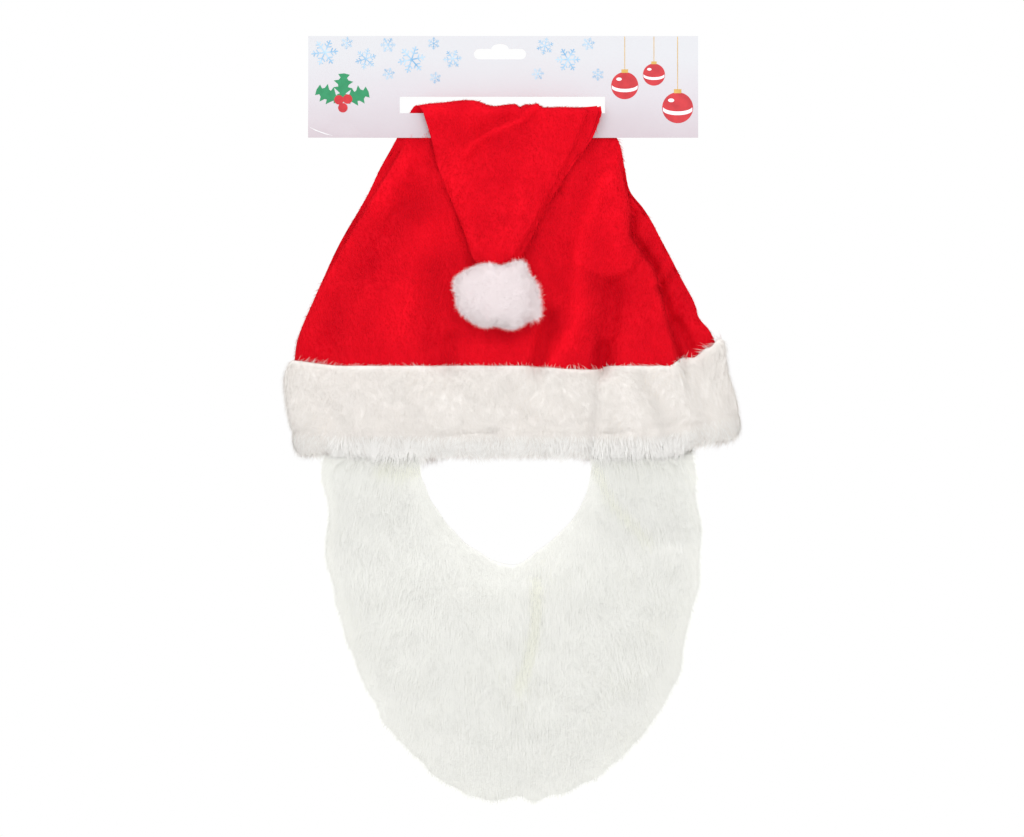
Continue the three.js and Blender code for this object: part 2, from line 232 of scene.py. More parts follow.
# %% Meshes from rows of points
def ring_faces(rows, columns, first=0, closed=True):
    """Four-sided faces between neighbouring rows of points that are numbered row by row."""
    count = columns if closed else columns - 1
    row, column = np.meshgrid(np.arange(rows - 1), np.arange(count), indexing="ij")
    beside = (column + 1) % columns
    corners = [row * columns + column, row * columns + beside]
    corners += [(row + 1) * columns + beside, (row + 1) * columns + column]
    return (np.stack(corners, -1).reshape(-1, 4) + first).tolist()


def make_mesh(name, points, faces, smooth=True):
    """An object whose faces all point outwards, at the origin."""
    mesh = bpy.data.meshes.new(name)
    mesh.from_pydata(np.asarray(points).reshape(-1, 3).tolist(), [], faces)
    work = bmesh.new()
    work.from_mesh(mesh)
    bmesh.ops.recalc_face_normals(work, faces=work.faces)
    work.to_mesh(mesh)
    work.free()
    if smooth:
        mesh.shade_smooth()
    else:
        mesh.shade_flat()
    return add_object(name, mesh)


def paint_points(made, name, values):
    """Stores one number or one vector for each point of the mesh under a name."""
    values = np.asarray(values, np.float32)
    kind = "FLOAT" if values.ndim == 1 else "FLOAT_VECTOR"
    layer = made.data.attributes.get(name) or made.data.attributes.new(name, kind, "POINT")
    layer.data.foreach_set("value" if values.ndim == 1 else "vector", values.ravel())


def triangles(made):
    """How many triangles the object's mesh comes to."""
    made.data.calc_loop_triangles()
    return len(made.data.loop_triangles)


print("mesh helpers ready")

# %% [markdown]
# ## Folds
# Folds are what make cloth look like cloth. Each one is a short line on the front of the hat, as
# seen in the picture, with how far its slope reaches to either side and how far it rises. A fold
# with a minus sign is a valley. A fold with a fade is the edge of an upper layer: the cloth drops to
# the right of its line, and comes up again over that distance.

# %% Distance to a fold
Fold = namedtuple("Fold", "line reach rise fade", defaults=(None,))


def near_line(x, z, line):
    """How far each place is from a line of points. To the line's right the distance is above 0."""
    best = np.full(np.shape(x), np.inf)
    signed = np.zeros(np.shape(x))
    for (x1, z1), (x2, z2) in zip(line, line[1:]):
        run_x = x2 - x1
        run_z = z2 - z1
        share = np.clip(((x - x1) * run_x + (z - z1) * run_z) / (run_x**2 + run_z**2), 0, 1)
        away = np.hypot(x - x1 - share * run_x, z - z1 - share * run_z)
        side = np.sign(run_x * (z - z1) - run_z * (x - x1))
        closer = away < best
        best = np.where(closer, away, best)
        signed = np.where(closer, away * side, signed)
    return signed


def fold_rise(x, z, folds):
    """How far the folds together lift the cloth at each place."""
    rise = np.zeros(np.shape(x))
    for fold in folds:
        away = near_line(x, z, fold.line)
        if fold.fade is None:
            rise += fold.rise * np.exp(-((away / fold.reach) ** 2))
        else:
            past = np.exp(-((np.maximum(away, 0) / fold.fade) ** 2))
            rise += fold.rise * smooth_step(-fold.reach / 2, fold.reach / 2, away) * past
    return rise


print("fold helpers ready")

# %% [markdown]
# ## The crown
# The crown is plush cloth sewn to a cone. Its lower half is a flattened tube. Its top goes
# up behind the card's slot, over the slot's lower edge and down in front as a flap that ends in a
# point. One table gives the cuts of the tube from its hem to the slot, and another the flap's.

# %% Cuts across the crown
Cut = namedtuple("Cut", "z left right y half")
BODY_CUTS = [
    Cut(-0.2460, -0.1245, 0.1435, 0.0015, 0.0280),
    Cut(-0.2250, -0.1280, 0.1430, 0.0020, 0.0280),
    Cut(-0.2000, -0.1306, 0.1387, 0.0025, 0.0270),
    Cut(-0.1890, -0.1297, 0.1354, 0.0028, 0.0260),
    Cut(-0.1815, -0.1285, 0.1320, 0.0030, 0.0252),
    Cut(-0.1762, -0.1268, 0.1284, 0.0031, 0.0245),
    Cut(-0.1710, -0.1248, 0.1256, 0.0032, 0.0237),
    Cut(-0.1650, -0.1222, 0.1244, 0.0033, 0.0228),
    Cut(-0.1420, -0.1120, 0.1146, 0.0036, 0.0188),
    Cut(-0.1190, -0.1013, 0.1030, 0.0040, 0.0146),
    Cut(-0.0970, -0.0885, 0.0905, 0.0043, 0.0106),
    Cut(-0.0880, -0.0835, 0.0832, 0.0045, 0.0090),
    Cut(-0.0730, -0.0764, 0.0793, 0.0048, 0.0066),
    Cut(-0.0550, -0.0665, 0.0752, 0.0050, 0.0047),
    Cut(-0.0374, -0.0575, 0.0635, 0.0050, 0.0042),
]
FLAP_CUTS = [
    Cut(-0.0374, -0.0485, 0.0645, -0.0050, 0.0042),
    Cut(-0.0540, -0.0435, 0.0582, -0.0060, 0.0042),
    Cut(-0.0700, -0.0400, 0.0465, -0.0086, 0.0044),
    Cut(-0.0860, -0.0337, 0.0362, -0.0122, 0.0048),
    Cut(-0.1010, -0.0274, 0.0273, -0.0166, 0.0052),
    Cut(-0.1180, -0.0210, 0.0196, -0.0224, 0.0056),
    Cut(-0.1270, -0.0180, 0.0146, -0.0274, 0.0056),
    Cut(-0.1314, -0.0160, 0.0112, -0.0306, 0.0052),
    Cut(-0.1356, -0.0110, 0.0060, -0.0330, 0.0034),
]
CROWN_HEM = BODY_CUTS[0].z
SLOT_EDGE = BODY_CUTS[-1].z
FOLD_RADIUS = 0.005
CLOTH_WALL = 0.002
print("body cuts:", len(BODY_CUTS), "flap cuts:", len(FLAP_CUTS))

# %% Folds of the crown
BODY_FOLDS = {
    "edge of the left seam": Fold(
        [(-0.1110, -0.1420), (-0.1013, -0.1254), (-0.0912, -0.1076), (-0.0836, -0.0960), (-0.0709, -0.0745),
         (-0.0600, -0.0560)],
        0.0020, -0.0075, 0.0120),
    "left valley": Fold(
        [(-0.0480, -0.0930), (-0.0660, -0.1030), (-0.0800, -0.1210), (-0.0925, -0.1400), (-0.1013, -0.1590),
         (-0.1092, -0.1780), (-0.1120, -0.1960)],
        0.0100, -0.0046),
    "swell beside the seam": Fold(
        [(-0.0560, -0.0580), (-0.0640, -0.0720), (-0.0790, -0.0960)], 0.0100, 0.0080),
    "left swell": Fold(
        [(-0.0443, -0.1080), (-0.0570, -0.1300), (-0.0586, -0.1526), (-0.0649, -0.1748)], 0.0120, 0.0022),
    "valley beside the pompom": Fold(
        [(-0.0380, -0.1368), (-0.0434, -0.1558), (-0.0443, -0.1716), (-0.0402, -0.1938)], 0.0085, -0.0030),
    "left gather": Fold([(-0.0310, -0.1800), (-0.0320, -0.2000)], 0.0055, -0.0045),
    "middle gather": Fold([(0.0310, -0.1660), (0.0279, -0.1800), (0.0231, -0.1985)], 0.0050, -0.0050),
    "lip of the middle gather": Fold([(0.0400, -0.1800), (0.0320, -0.1985)], 0.0050, 0.0040),
    "long ridge": Fold(
        [(0.0760, -0.0640), (0.0602, -0.0924), (0.0532, -0.1114), (0.0494, -0.1304), (0.0494, -0.1494),
         (0.0488, -0.1684), (0.0443, -0.1843)],
        0.0070, 0.0060),
    "gather beside the ridge": Fold(
        [(0.0709, -0.1494), (0.0690, -0.1684), (0.0659, -0.1843), (0.0646, -0.1985)], 0.0084, -0.0066),
    "gather at the hem": Fold([(0.0655, -0.1840), (0.0646, -0.1985)], 0.0040, -0.0050),
    "pouch": Fold([(0.0720, -0.0880), (0.0755, -0.1260)], 0.0110, 0.0030),
    "lower edge of the pouch": Fold(
        [(0.0871, -0.1289), (0.0823, -0.1374), (0.0697, -0.1425), (0.0640, -0.1405)],
        0.0040, -0.0034, 0.0120),
    "edge of the pleat": Fold(
        [(0.0792, -0.0830), (0.0833, -0.0988), (0.0823, -0.1146), (0.0893, -0.1247), (0.0975, -0.1352),
         (0.1013, -0.1510), (0.1060, -0.1684), (0.1130, -0.1980)],
        0.0022, -0.0075, 0.0220),
    "bottom of the pleat": Fold(
        [(0.0840, -0.0950), (0.0840, -0.1146), (0.0910, -0.1247), (0.0990, -0.1352), (0.1030, -0.1510),
         (0.1078, -0.1684), (0.1148, -0.1980)],
        0.0032, -0.0055),
    "crease across the flank": Fold([(0.1007, -0.1488), (0.1114, -0.1368)], 0.0024, -0.0050),
    "lip of that crease": Fold([(0.0985, -0.1440), (0.1090, -0.1320)], 0.0030, 0.0030),
    "crease along the flank": Fold([(0.1120, -0.1700), (0.1203, -0.1893)], 0.0032, -0.0065),
}
FLAP_FOLDS = {
    "crease across the flap": Fold(
        [(0.0232, -0.0340), (0.0127, -0.0429), (-0.0044, -0.0500), (-0.0170, -0.0576), (-0.0215, -0.0640)],
        0.0026, 0.0034),
    "hollow above the crease": Fold(
        [(0.0060, -0.0400), (-0.0110, -0.0480), (-0.0240, -0.0560)], 0.0045, -0.0022),
    "hollow under the crease": Fold(
        [(0.0160, -0.0520), (-0.0060, -0.0620), (-0.0180, -0.0720)], 0.0080, -0.0016),
    "edge of the upper layer": Fold(
        [(0.0557, -0.0300), (0.0545, -0.0385), (0.0462, -0.0589), (0.0361, -0.0798), (0.0253, -0.1007),
         (0.0171, -0.1159), (0.0095, -0.1304)],
        0.0022, -0.0034, 0.1),
    "nick in the top edge": Fold([(0.0127, -0.0270), (0.0127, -0.0400)], 0.0018, -0.0012),
    "dent low on the flap": Fold([(-0.0100, -0.0900), (0.0020, -0.1060)], 0.0070, -0.0014),
}
TOP_EDGE_SAG = [
    (-0.0600, -0.0010), (-0.0380, -0.0012), (-0.0130, -0.0018), (-0.0060, -0.0046), (0.0060, -0.0036),
    (0.0110, -0.0036), (0.0127, -0.0046), (0.0146, -0.0038), (0.0235, -0.0054), (0.0400, -0.0046),
    (0.0640, -0.0040),
]
print("folds:", len(BODY_FOLDS) + len(FLAP_FOLDS))

# %% [markdown]
# A simulation wouldn't put the folds where the picture shows them, so they are laid one by one. The cuts
# become rings of points, and the folds push those points out or in. The right end of the hem is
# lifted a little, as the picture shows it.

# %% Rings of the crown
FRONT_COLUMNS = 150
BACK_COLUMNS = 70
BODY_RINGS = 100
ARC_RINGS = 12
FLAP_RINGS = 54
EDGE_CROWDING = 0.55
BODY, ARC, FLAP = 0, 1, 2


def around(front, back):
    """Places across a ring from -1 to 1 and back, and which side of the cloth each is on."""
    def across(count):
        even = np.linspace(-1, 1, count + 1)
        return (1 - EDGE_CROWDING) * even + EDGE_CROWDING * np.sin(even * np.pi / 2)
    places = np.concatenate([across(front)[:-1], -across(back)[:-1]])
    sides = np.concatenate([np.ones(front), -np.ones(back)])
    return places, sides


def crown_rings():
    """One row for each ring: z, left, right, y, half, slope and which part of the cone it is on."""
    rows = []
    for z in np.linspace(CROWN_HEM, SLOT_EDGE, BODY_RINGS):
        rows.append([z, *smooth_rows(BODY_CUTS, z), 0, BODY])
    for share in np.linspace(0, 1, ARC_RINGS + 2)[1:-1]:
        slope = share * np.pi
        blend = np.array(BODY_CUTS[-1]) * (1 - share) + np.array(FLAP_CUTS[0]) * share
        z = SLOT_EDGE + FOLD_RADIUS * np.sin(slope)
        cut = Cut(*blend)._replace(z=z, y=FOLD_RADIUS * np.cos(slope))
        rows.append([*cut, slope, ARC])
    flap_z = np.linspace(SLOT_EDGE, FLAP_CUTS[-1].z, FLAP_RINGS)
    flap = smooth_rows(FLAP_CUTS, flap_z)
    slopes = np.arctan2(-np.gradient(flap[:, 2]), np.gradient(flap_z))
    rows += [[z, *cut, slope, FLAP] for z, cut, slope in zip(flap_z, flap, slopes)]
    return np.array(rows)


RINGS = crown_rings()
RING_HEIGHTS = RINGS[:, 0]
RING_PARTS = RINGS[:, -1]
PLACES, SIDES = around(FRONT_COLUMNS, BACK_COLUMNS)
print("rings:", len(RINGS), "points around:", len(PLACES))

# %% Points of the crown
FOLDS_FROM, FOLDS_FULL = -0.053, -0.066
FOLD_TAPER = 0.5
FLAP_EDGE_BACK = 0.0045
LIFT_FROM, LIFT_TO, LIFT_RISE = 0.095, 0.152, 0.011
LIFT_FADE_LOW, LIFT_FADE_HIGH = -0.190, -0.120


def lift_at(x, z):
    """How far the right end of the hat is raised."""
    fading = 1 - smooth_step(LIFT_FADE_LOW, LIFT_FADE_HIGH, z)
    return LIFT_RISE * smooth_step(LIFT_FROM, LIFT_TO, x) * fading


def crown_points(rings, places, sides, out=0.0):
    """Points of the cone, `out` metres outside its middle surface, and how far folds lift each one."""
    z, left, right, y, half, slope, part = (column[:, None] for column in rings.T)
    swell = np.sqrt(np.clip(1 - places**2, 0, 1))
    x = (left + right) / 2 + places * ((right - left) / 2 + out)
    depth = sides * (half + out) * swell
    front = np.where((part == BODY) & (sides > 0), 1, 0)
    shown_flap = np.where((part != BODY) & (sides < 0), 1, 0)
    top_edge = shown_flap * np.sin(slope) * (part == ARC)
    below_card = smooth_step(FOLDS_FROM, FOLDS_FULL, z)
    push = front * below_card * swell**FOLD_TAPER * fold_rise(x, z + 0 * x, BODY_FOLDS.values())
    push += shown_flap * swell**FOLD_TAPER * fold_rise(x, z + 0 * x, FLAP_FOLDS.values())
    depth = depth + sides * push
    y = y + np.where(part == FLAP, FLAP_EDGE_BACK * below_card * places**2, 0)
    points = np.stack([x, y - depth * np.cos(slope), z - depth * np.sin(slope) + 0 * x], -1)
    sag = smooth_rows(TOP_EDGE_SAG, x)[..., 0]
    points[..., 2] += np.where(part == BODY, lift_at(x, points[..., 2]), top_edge * sag)
    return points, push


outer, outer_rise = crown_points(RINGS, PLACES, SIDES)
inner, _ = crown_points(RINGS[::2], PLACES[::2], SIDES[::2], -CLOTH_WALL)
print("folds lift the crown from", outer_rise.min().round(4), "to", outer_rise.max().round(4))

# %% Crown mesh
CLOTH_LUMPS = 0.0005
CLOTH_LUMP_SIZE = 0.016
# How far a fold must rise for nearly full painted shade in a valley and painted highlight on a ridge.
SHADE_FULL_RISE = 0.006
# How much lighter the flap is painted, as a painted sheen.
FLAP_PAINTED_SHEEN = 0.28

outer[..., 1] += CLOTH_LUMPS * hills(outer, CLOTH_LUMP_SIZE, seed=3) * -SIDES
count_out = outer.shape[0] * outer.shape[1]
count_in = inner.shape[0] * inner.shape[1]
around_out = outer.shape[1]
around_in = inner.shape[1]
tips = np.stack([outer[-1].mean(0), inner[-1].mean(0)])
crown_vertices = np.concatenate([outer.reshape(-1, 3), inner.reshape(-1, 3), tips])
crown_faces = ring_faces(*outer.shape[:2])
crown_faces += ring_faces(*inner.shape[:2], first=count_out)
for column in range(around_in):
    a, b, c = (2 * column, 2 * column + 1, (2 * column + 2) % around_out)
    d, e = (count_out + column, count_out + (column + 1) % around_in)
    crown_faces += [[a, b, d], [b, e, d], [b, c, e]]
last_rings = ((count_out - around_out, around_out), (count_out + count_in - around_in, around_in))
for tip, (first, size) in enumerate(last_rings, count_out + count_in):
    crown_faces += [[first + i, first + (i + 1) % size, tip] for i in range(size)]
crown = make_mesh("crown_cloth", crown_vertices, crown_faces)
# The folds are also painted into the colour: darker in a valley as painted shade, lighter on a ridge as a
# painted highlight.
nap = np.zeros(len(crown_vertices))
nap[:count_out] = np.tanh(outer_rise.ravel() / SHADE_FULL_RISE)
# The flap and the top edge over the slot are painted lighter all over, as a painted sheen.
nap[:count_out] += FLAP_PAINTED_SHEEN * np.repeat(RING_PARTS != BODY, around_out)
paint_points(crown, "nap", nap)
print("crown:", triangles(crown), "triangles, nap from", nap.min().round(2), "to", nap.max().round(2))

# %% [markdown]
# ## Plush red
# Plush is a knitted backing with a short pile brushed one way. The backing carries a deep red with a
# fine bump. Over it go real strands, so the cloth gets a soft edge and a streaky nap that shading
# alone doesn't give. The same tree of nodes will grow the white fur of the other pieces.

# %% Cloth material
# How much painted shade and highlight darken and lighten the cloth.
SHADE_SHARE = 0.2


def cloth_material(name, dark, light, grain, sheen):
    """Matt cloth whose colour wanders between two tones, with a fine bump at the grain's size and painted
    shade and highlight.
    """
    material, tree, shader = start_material(name, roughness=0.95, gloss=0.05)
    shader.inputs["Sheen Weight"].default_value = sheen
    shader.inputs["Sheen Roughness"].default_value = 0.4
    shader.inputs["Sheen Tint"].default_value = (*light, 1)
    place = add_node(tree, "ShaderNodeTexCoord").outputs["Object"]
    patches = add_node(tree, "ShaderNodeTexNoise", {"Vector": place, "Scale": 45, "Detail": 4})
    tone = blend_tones(tree, patches.outputs["Fac"], [(0.3, dark), (0.7, light)])
    knit = add_node(tree, "ShaderNodeTexNoise", {"Vector": place, "Scale": 1 / grain, "Detail": 3})
    bump = add_node(tree, "ShaderNodeBump", {
        "Height": knit.outputs["Fac"], "Strength": 0.5, "Distance": grain / 2})
    # The painted shade and highlight stored on the cloth's points.
    nap = add_node(tree, "ShaderNodeAttribute", attribute_name="nap")
    bright = add_node(tree, "ShaderNodeMapRange", {
        "Value": nap.outputs["Fac"], "From Min": -1.0, "To Min": 1 - SHADE_SHARE, "To Max": 1 + SHADE_SHARE})
    shade = add_node(tree, "ShaderNodeHueSaturation", {"Color": tone, "Value": bright.outputs["Result"]})
    tree.links.new(shade.outputs["Color"], shader.inputs["Base Color"])
    tree.links.new(bump.outputs["Normal"], shader.inputs["Normal"])
    return material


RED_DARK = (0.62, 0.003, 0.012)
RED_LIGHT = (0.76, 0.005, 0.016)
PLUSH_GRAIN = 0.0012
crown.data.materials.append(
    cloth_material("red_plush_backing", RED_DARK, RED_LIGHT, PLUSH_GRAIN, sheen=0.15))
print("crown cloth:", crown.data.materials[0].name)

# %% Strand material
# Painted shade pushes a strand's tint low, and low tints come out dimmer and stronger in colour.
RICH_TINTS = 0.15
RICHER = 2.2


def strand_material(name, root, tip, dim, sheen):
    """Fur from a root colour to a tip colour. Strands of a low tint are dimmer and stronger in colour."""
    material, tree, shader = start_material(name, roughness=0.75, gloss=0.05)
    shader.inputs["Sheen Weight"].default_value = sheen
    shader.inputs["Sheen Tint"].default_value = (*tip, 1)
    along = add_node(tree, "ShaderNodeAttribute", attribute_name="along")
    tint = add_node(tree, "ShaderNodeAttribute", attribute_name="tint")
    tone = blend_tones(tree, along.outputs["Fac"], [(0.0, root), (1.0, tip)])
    bright = add_node(tree, "ShaderNodeMapRange", {
        "Value": tint.outputs["Fac"], "To Min": dim, "To Max": 1.0})
    rich = add_node(tree, "ShaderNodeMapRange", {
        "Value": tint.outputs["Fac"], "From Max": RICH_TINTS, "To Min": RICHER, "To Max": 1.0})
    shade = add_node(tree, "ShaderNodeHueSaturation", {
        "Color": tone, "Value": bright.outputs["Result"], "Saturation": rich.outputs["Result"]})
    tree.links.new(shade.outputs["Color"], shader.inputs["Base Color"])
    return material


print("strand material ready")

# %% One strand
def make_strand(name, leans):
    """A blade one unit long that bends over towards +X, with a piece for each lean."""
    points = []
    along = []
    across = []
    place = np.zeros(3)
    for index, lean in enumerate(leans):
        share = index / len(leans)
        for side in (-0.5, 0.5):
            points.append(place + np.array([0, side * (1 - share), 0]))
            along.append(share)
            across.append(side)
        place = place + np.array([math.sin(lean), 0, math.cos(lean)]) / len(leans)
    tip = len(points)
    faces = [[first + 1, first, first + 2, first + 3] for first in range(0, tip - 2, 2)]
    faces.append([tip - 1, tip - 2, tip])
    mesh = bpy.data.meshes.new(name)
    mesh.from_pydata([tuple(point) for point in points + [place]], [], faces)
    mesh.shade_smooth()
    strand = bpy.data.objects.new(name, mesh)
    paint_points(strand, "along", along + [1])
    paint_points(strand, "across", across + [0])
    return strand


print("strand maker ready")

# %% [markdown]
# The fur is grown by a tree of geometry nodes. Its sizes are inputs, so that one tree grows the pile,
# the fur, the hair and the yarn. A small class holds the tree and adds the nodes that it needs often.

# %% Fur nodes
FUR_INPUTS = {
    "Cloth": "NodeSocketGeometry",
    "Strand": "NodeSocketObject",
    "Strands per Square Metre": "NodeSocketFloat",
    "Length": "NodeSocketFloat",
    "Length Spread": "NodeSocketFloat",
    "Width": "NodeSocketFloat",
    "Stray": "NodeSocketFloat",
    "Lift": "NodeSocketFloat",
    "Locks per Square Metre": "NodeSocketFloat",
    "Clump": "NodeSocketFloat",
    "Wander": "NodeSocketFloat",
    "Wander Size": "NodeSocketFloat",
    "Patch Size": "NodeSocketFloat",
    "Patch Share": "NodeSocketFloat",
    "Seed": "NodeSocketInt",
    "Fur": "NodeSocketMaterial",
}


class FurNodes:
    """A geometry tree for fur, with short ways to add its most common nodes."""

    def __init__(self):
        self.tree = bpy.data.node_groups.new("fur_on_cloth", "GeometryNodeTree")
        for name, kind in FUR_INPUTS.items():
            self.tree.interface.new_socket(name, in_out="INPUT", socket_type=kind)
        self.tree.interface.new_socket("Strands", in_out="OUTPUT", socket_type="NodeSocketGeometry")
        self.given = self.add("NodeGroupInput").outputs

    def add(self, kind, inputs=None, **options):
        return add_node(self.tree, kind, inputs, **options)

    def math(self, operation, first, second):
        return self.add("ShaderNodeMath", {0: first, 1: second}, operation=operation).outputs[0]

    def vector(self, operation, first, second):
        key = 3 if operation == "SCALE" else 1
        return self.add("ShaderNodeVectorMath", {0: first, key: second}, operation=operation).outputs[0]

    def named(self, name, kind="FLOAT"):
        return self.add("GeometryNodeInputNamedAttribute", {"Name": name}, data_type=kind).outputs[0]

    def keep(self, geometry, name, value, kind="FLOAT", domain="POINT"):
        inputs = {"Geometry": geometry, "Name": name, "Value": value}
        options = {"data_type": kind, "domain": domain}
        return self.add("GeometryNodeStoreNamedAttribute", inputs, **options).outputs[0]

    def noise(self, place, size, detail):
        inputs = {"Vector": place, "Scale": self.math("DIVIDE", 1.0, size), "Detail": detail}
        return self.add("ShaderNodeTexNoise", inputs).outputs

    def scatter(self, density, seed):
        amount = self.math("MULTIPLY", density, self.named("pile"))
        inputs = {"Mesh": self.given["Cloth"], "Density": amount, "Seed": seed}
        return self.add("GeometryNodeDistributePointsOnFaces", inputs)

    def random(self, low, high, seed_step):
        inputs = {2: low, 3: high, "Seed": self.math("ADD", self.given["Seed"], seed_step)}
        return self.add("FunctionNodeRandomValue", inputs, data_type="FLOAT").outputs[1]


fur_nodes = FurNodes()
print("fur inputs:", len(fur_nodes.given) - 1)

# %% [markdown]
# Points are scattered over the cloth, and a strand stands on each. It is turned the way the cloth's
# `comb` says, then a little at random, and has a length and a tint of its own. The tint follows brushed
# patches and the painted shade and highlight stored on the cloth, so that neighbours look alike.

# %% Turn, size and tint of a strand
LIFT_SEED, STRAY_SEED, LENGTH_SEED, TINT_SEED = 11, 12, 13, 14
# How far painted shade and highlight shift a strand's tint.
SHADE_TINT = 0.5
BRUSHED_LOW, BRUSHED_HIGH = 0.3, 0.7


def strand_turn(nodes, normal):
    """Upright on the cloth, combed, and then turned a little at random."""
    lift = nodes.given["Lift"]
    stray = nodes.given["Stray"]
    upright = nodes.add("FunctionNodeAlignRotationToVector", {"Vector": normal}, axis="Z").outputs[0]
    comb = {"Rotation": upright, "Vector": nodes.named("comb", "FLOAT_VECTOR")}
    combed = nodes.add("FunctionNodeAlignRotationToVector", comb, axis="X", pivot_axis="Z").outputs[0]
    angles = nodes.add("ShaderNodeCombineXYZ", {
        "Y": nodes.random(nodes.math("MULTIPLY", lift, -1.0), lift, LIFT_SEED),
        "Z": nodes.random(nodes.math("MULTIPLY", stray, -1.0), stray, STRAY_SEED)}).outputs[0]
    turn = nodes.add("FunctionNodeEulerToRotation", {"Euler": angles}).outputs[0]
    both = {"Rotation": combed, "Rotate By": turn}
    return nodes.add("FunctionNodeRotateRotation", both, rotation_space="LOCAL").outputs[0]


def strand_size(nodes):
    """The strand's length, with some spread, and its width."""
    spread = nodes.given["Length Spread"]
    shorter = nodes.math("SUBTRACT", 1.0, spread)
    longer = nodes.math("ADD", 1.0, spread)
    length = nodes.math("MULTIPLY", nodes.given["Length"], nodes.named("length"))
    length = nodes.math("MULTIPLY", length, nodes.random(shorter, longer, LENGTH_SEED))
    size = {"X": length, "Y": nodes.given["Width"], "Z": length}
    return nodes.add("ShaderNodeCombineXYZ", size).outputs[0]


def strand_tint(nodes, place):
    """A tint from 0 to 1, partly random and partly from brushed patches, shifted by painted shade and
    highlight.
    """
    patches = nodes.noise(place, nodes.given["Patch Size"], 2.0)["Fac"]
    limits = {"Value": patches, "From Min": BRUSHED_LOW, "From Max": BRUSHED_HIGH}
    brushed = nodes.add("ShaderNodeMapRange", limits).outputs["Result"]
    mix = {0: nodes.given["Patch Share"], 2: nodes.random(0.0, 1.0, TINT_SEED), 3: brushed}
    tint = nodes.add("ShaderNodeMix", mix).outputs[0]
    nap = nodes.math("MULTIPLY", nodes.named("nap"), SHADE_TINT)
    return nodes.add("ShaderNodeClamp", {"Value": nodes.math("ADD", tint, nap)}).outputs[0]


print("random draws for a strand:", TINT_SEED - LIFT_SEED + 1)

# %% [markdown]
# The strands are realized into one mesh. Then their tips are drawn together into locks, which is what
# makes fur look like fur and not like grass, and they wander a little. Each strand also gets its own
# narrow stripe of a texture map: across for its tint, and up from root to tip.

# %% Fur tree
STRIPE_WIDTH = 0.012
TIP_PULL = 1.4


def standing_strands(nodes, place):
    """One mesh of strands on the cloth. Each keeps its root, its tint and the way the cloth faces."""
    roots = nodes.scatter(nodes.given["Strands per Square Metre"], nodes.given["Seed"]).outputs
    turn = strand_turn(nodes, roots["Normal"])
    size = strand_size(nodes)
    points = nodes.keep(roots["Points"], "root", place, "FLOAT_VECTOR")
    points = nodes.keep(points, "tint", strand_tint(nodes, place))
    points = nodes.keep(points, "cloth_way", roots["Normal"], "FLOAT_VECTOR")
    shape = nodes.add("GeometryNodeObjectInfo", {"Object": nodes.given["Strand"]}).outputs["Geometry"]
    strands = nodes.add("GeometryNodeInstanceOnPoints", {
        "Points": points, "Instance": shape, "Rotation": turn, "Scale": size}).outputs[0]
    return nodes.add("GeometryNodeRealizeInstances", {"Geometry": strands}).outputs[0]


def locked_strands(nodes, strands, place):
    """The strands with their tips drawn to the nearest lock, and then let wander."""
    root = nodes.named("root", "FLOAT_VECTOR")
    lock_seed = nodes.math("ADD", nodes.given["Seed"], 1)
    locks = nodes.scatter(nodes.given["Locks per Square Metre"], lock_seed).outputs["Points"]
    nearest = nodes.add("GeometryNodeSampleNearest", {"Geometry": locks, "Sample Position": root}).outputs[0]
    sample = {"Geometry": locks, "Value": place, "Index": nearest}
    lock = nodes.add("GeometryNodeSampleIndex", sample, data_type="FLOAT_VECTOR").outputs[0]
    tipwards = nodes.math("POWER", nodes.named("along"), TIP_PULL)
    pull = nodes.vector("SUBTRACT", lock, root)
    pull = nodes.vector("SCALE", pull, nodes.math("MULTIPLY", nodes.given["Clump"], tipwards))
    drift = nodes.noise(root, nodes.given["Wander Size"], 1.0)["Color"]
    drift = nodes.vector("SUBTRACT", drift, (0.5, 0.5, 0.5))
    drift = nodes.vector("SCALE", drift, nodes.math("MULTIPLY", nodes.given["Wander"], tipwards))
    moved = {"Geometry": strands, "Offset": nodes.vector("ADD", pull, drift)}
    return nodes.add("GeometryNodeSetPosition", moved).outputs[0]


def mapped_strands(nodes, strands):
    """The strands with a stripe of the texture map for each."""
    stripe = nodes.math("MULTIPLY", nodes.named("across"), STRIPE_WIDTH)
    tone = nodes.math("MULTIPLY", nodes.named("tint"), 1 - 2 * STRIPE_WIDTH)
    stripe = nodes.math("ADD", nodes.math("ADD", stripe, tone), STRIPE_WIDTH)
    spot = nodes.add("ShaderNodeCombineXYZ", {"X": stripe, "Y": nodes.named("along")}).outputs[0]
    return nodes.keep(strands, "OFBake", spot, "FLOAT2", "CORNER")


position = fur_nodes.add("GeometryNodeInputPosition").outputs[0]
strands = standing_strands(fur_nodes, position)
strands = mapped_strands(fur_nodes, locked_strands(fur_nodes, strands, position))
coloured = fur_nodes.add("GeometryNodeSetMaterial", {"Geometry": strands, "Material": fur_nodes.given["Fur"]})
fur_nodes.add("NodeGroupOutput", {"Strands": coloured.outputs[0]})
print("fur tree:", len(fur_nodes.tree.nodes), "nodes")

# %% [markdown]
# Growing fur on a cloth means running the tree on it and keeping the result as a plain mesh, without
# the layers that only the tree needed. Strands that lie flat are lit as the cloth under them is,
# which keeps the fur soft.

# %% Growing fur
FUR_TREE = fur_nodes.tree
FUR_KEYS = {item.name: item.identifier for item in FUR_TREE.interface.items_tree}
FUR_TITLES = {"strands": "Strands per Square Metre", "locks": "Locks per Square Metre"}
SCRATCH_LAYERS = ("root", "comb", "pile", "length", "across", "cloth_way", "nap")
LYING_FROM, LYING_FULL = 0.0, 0.2


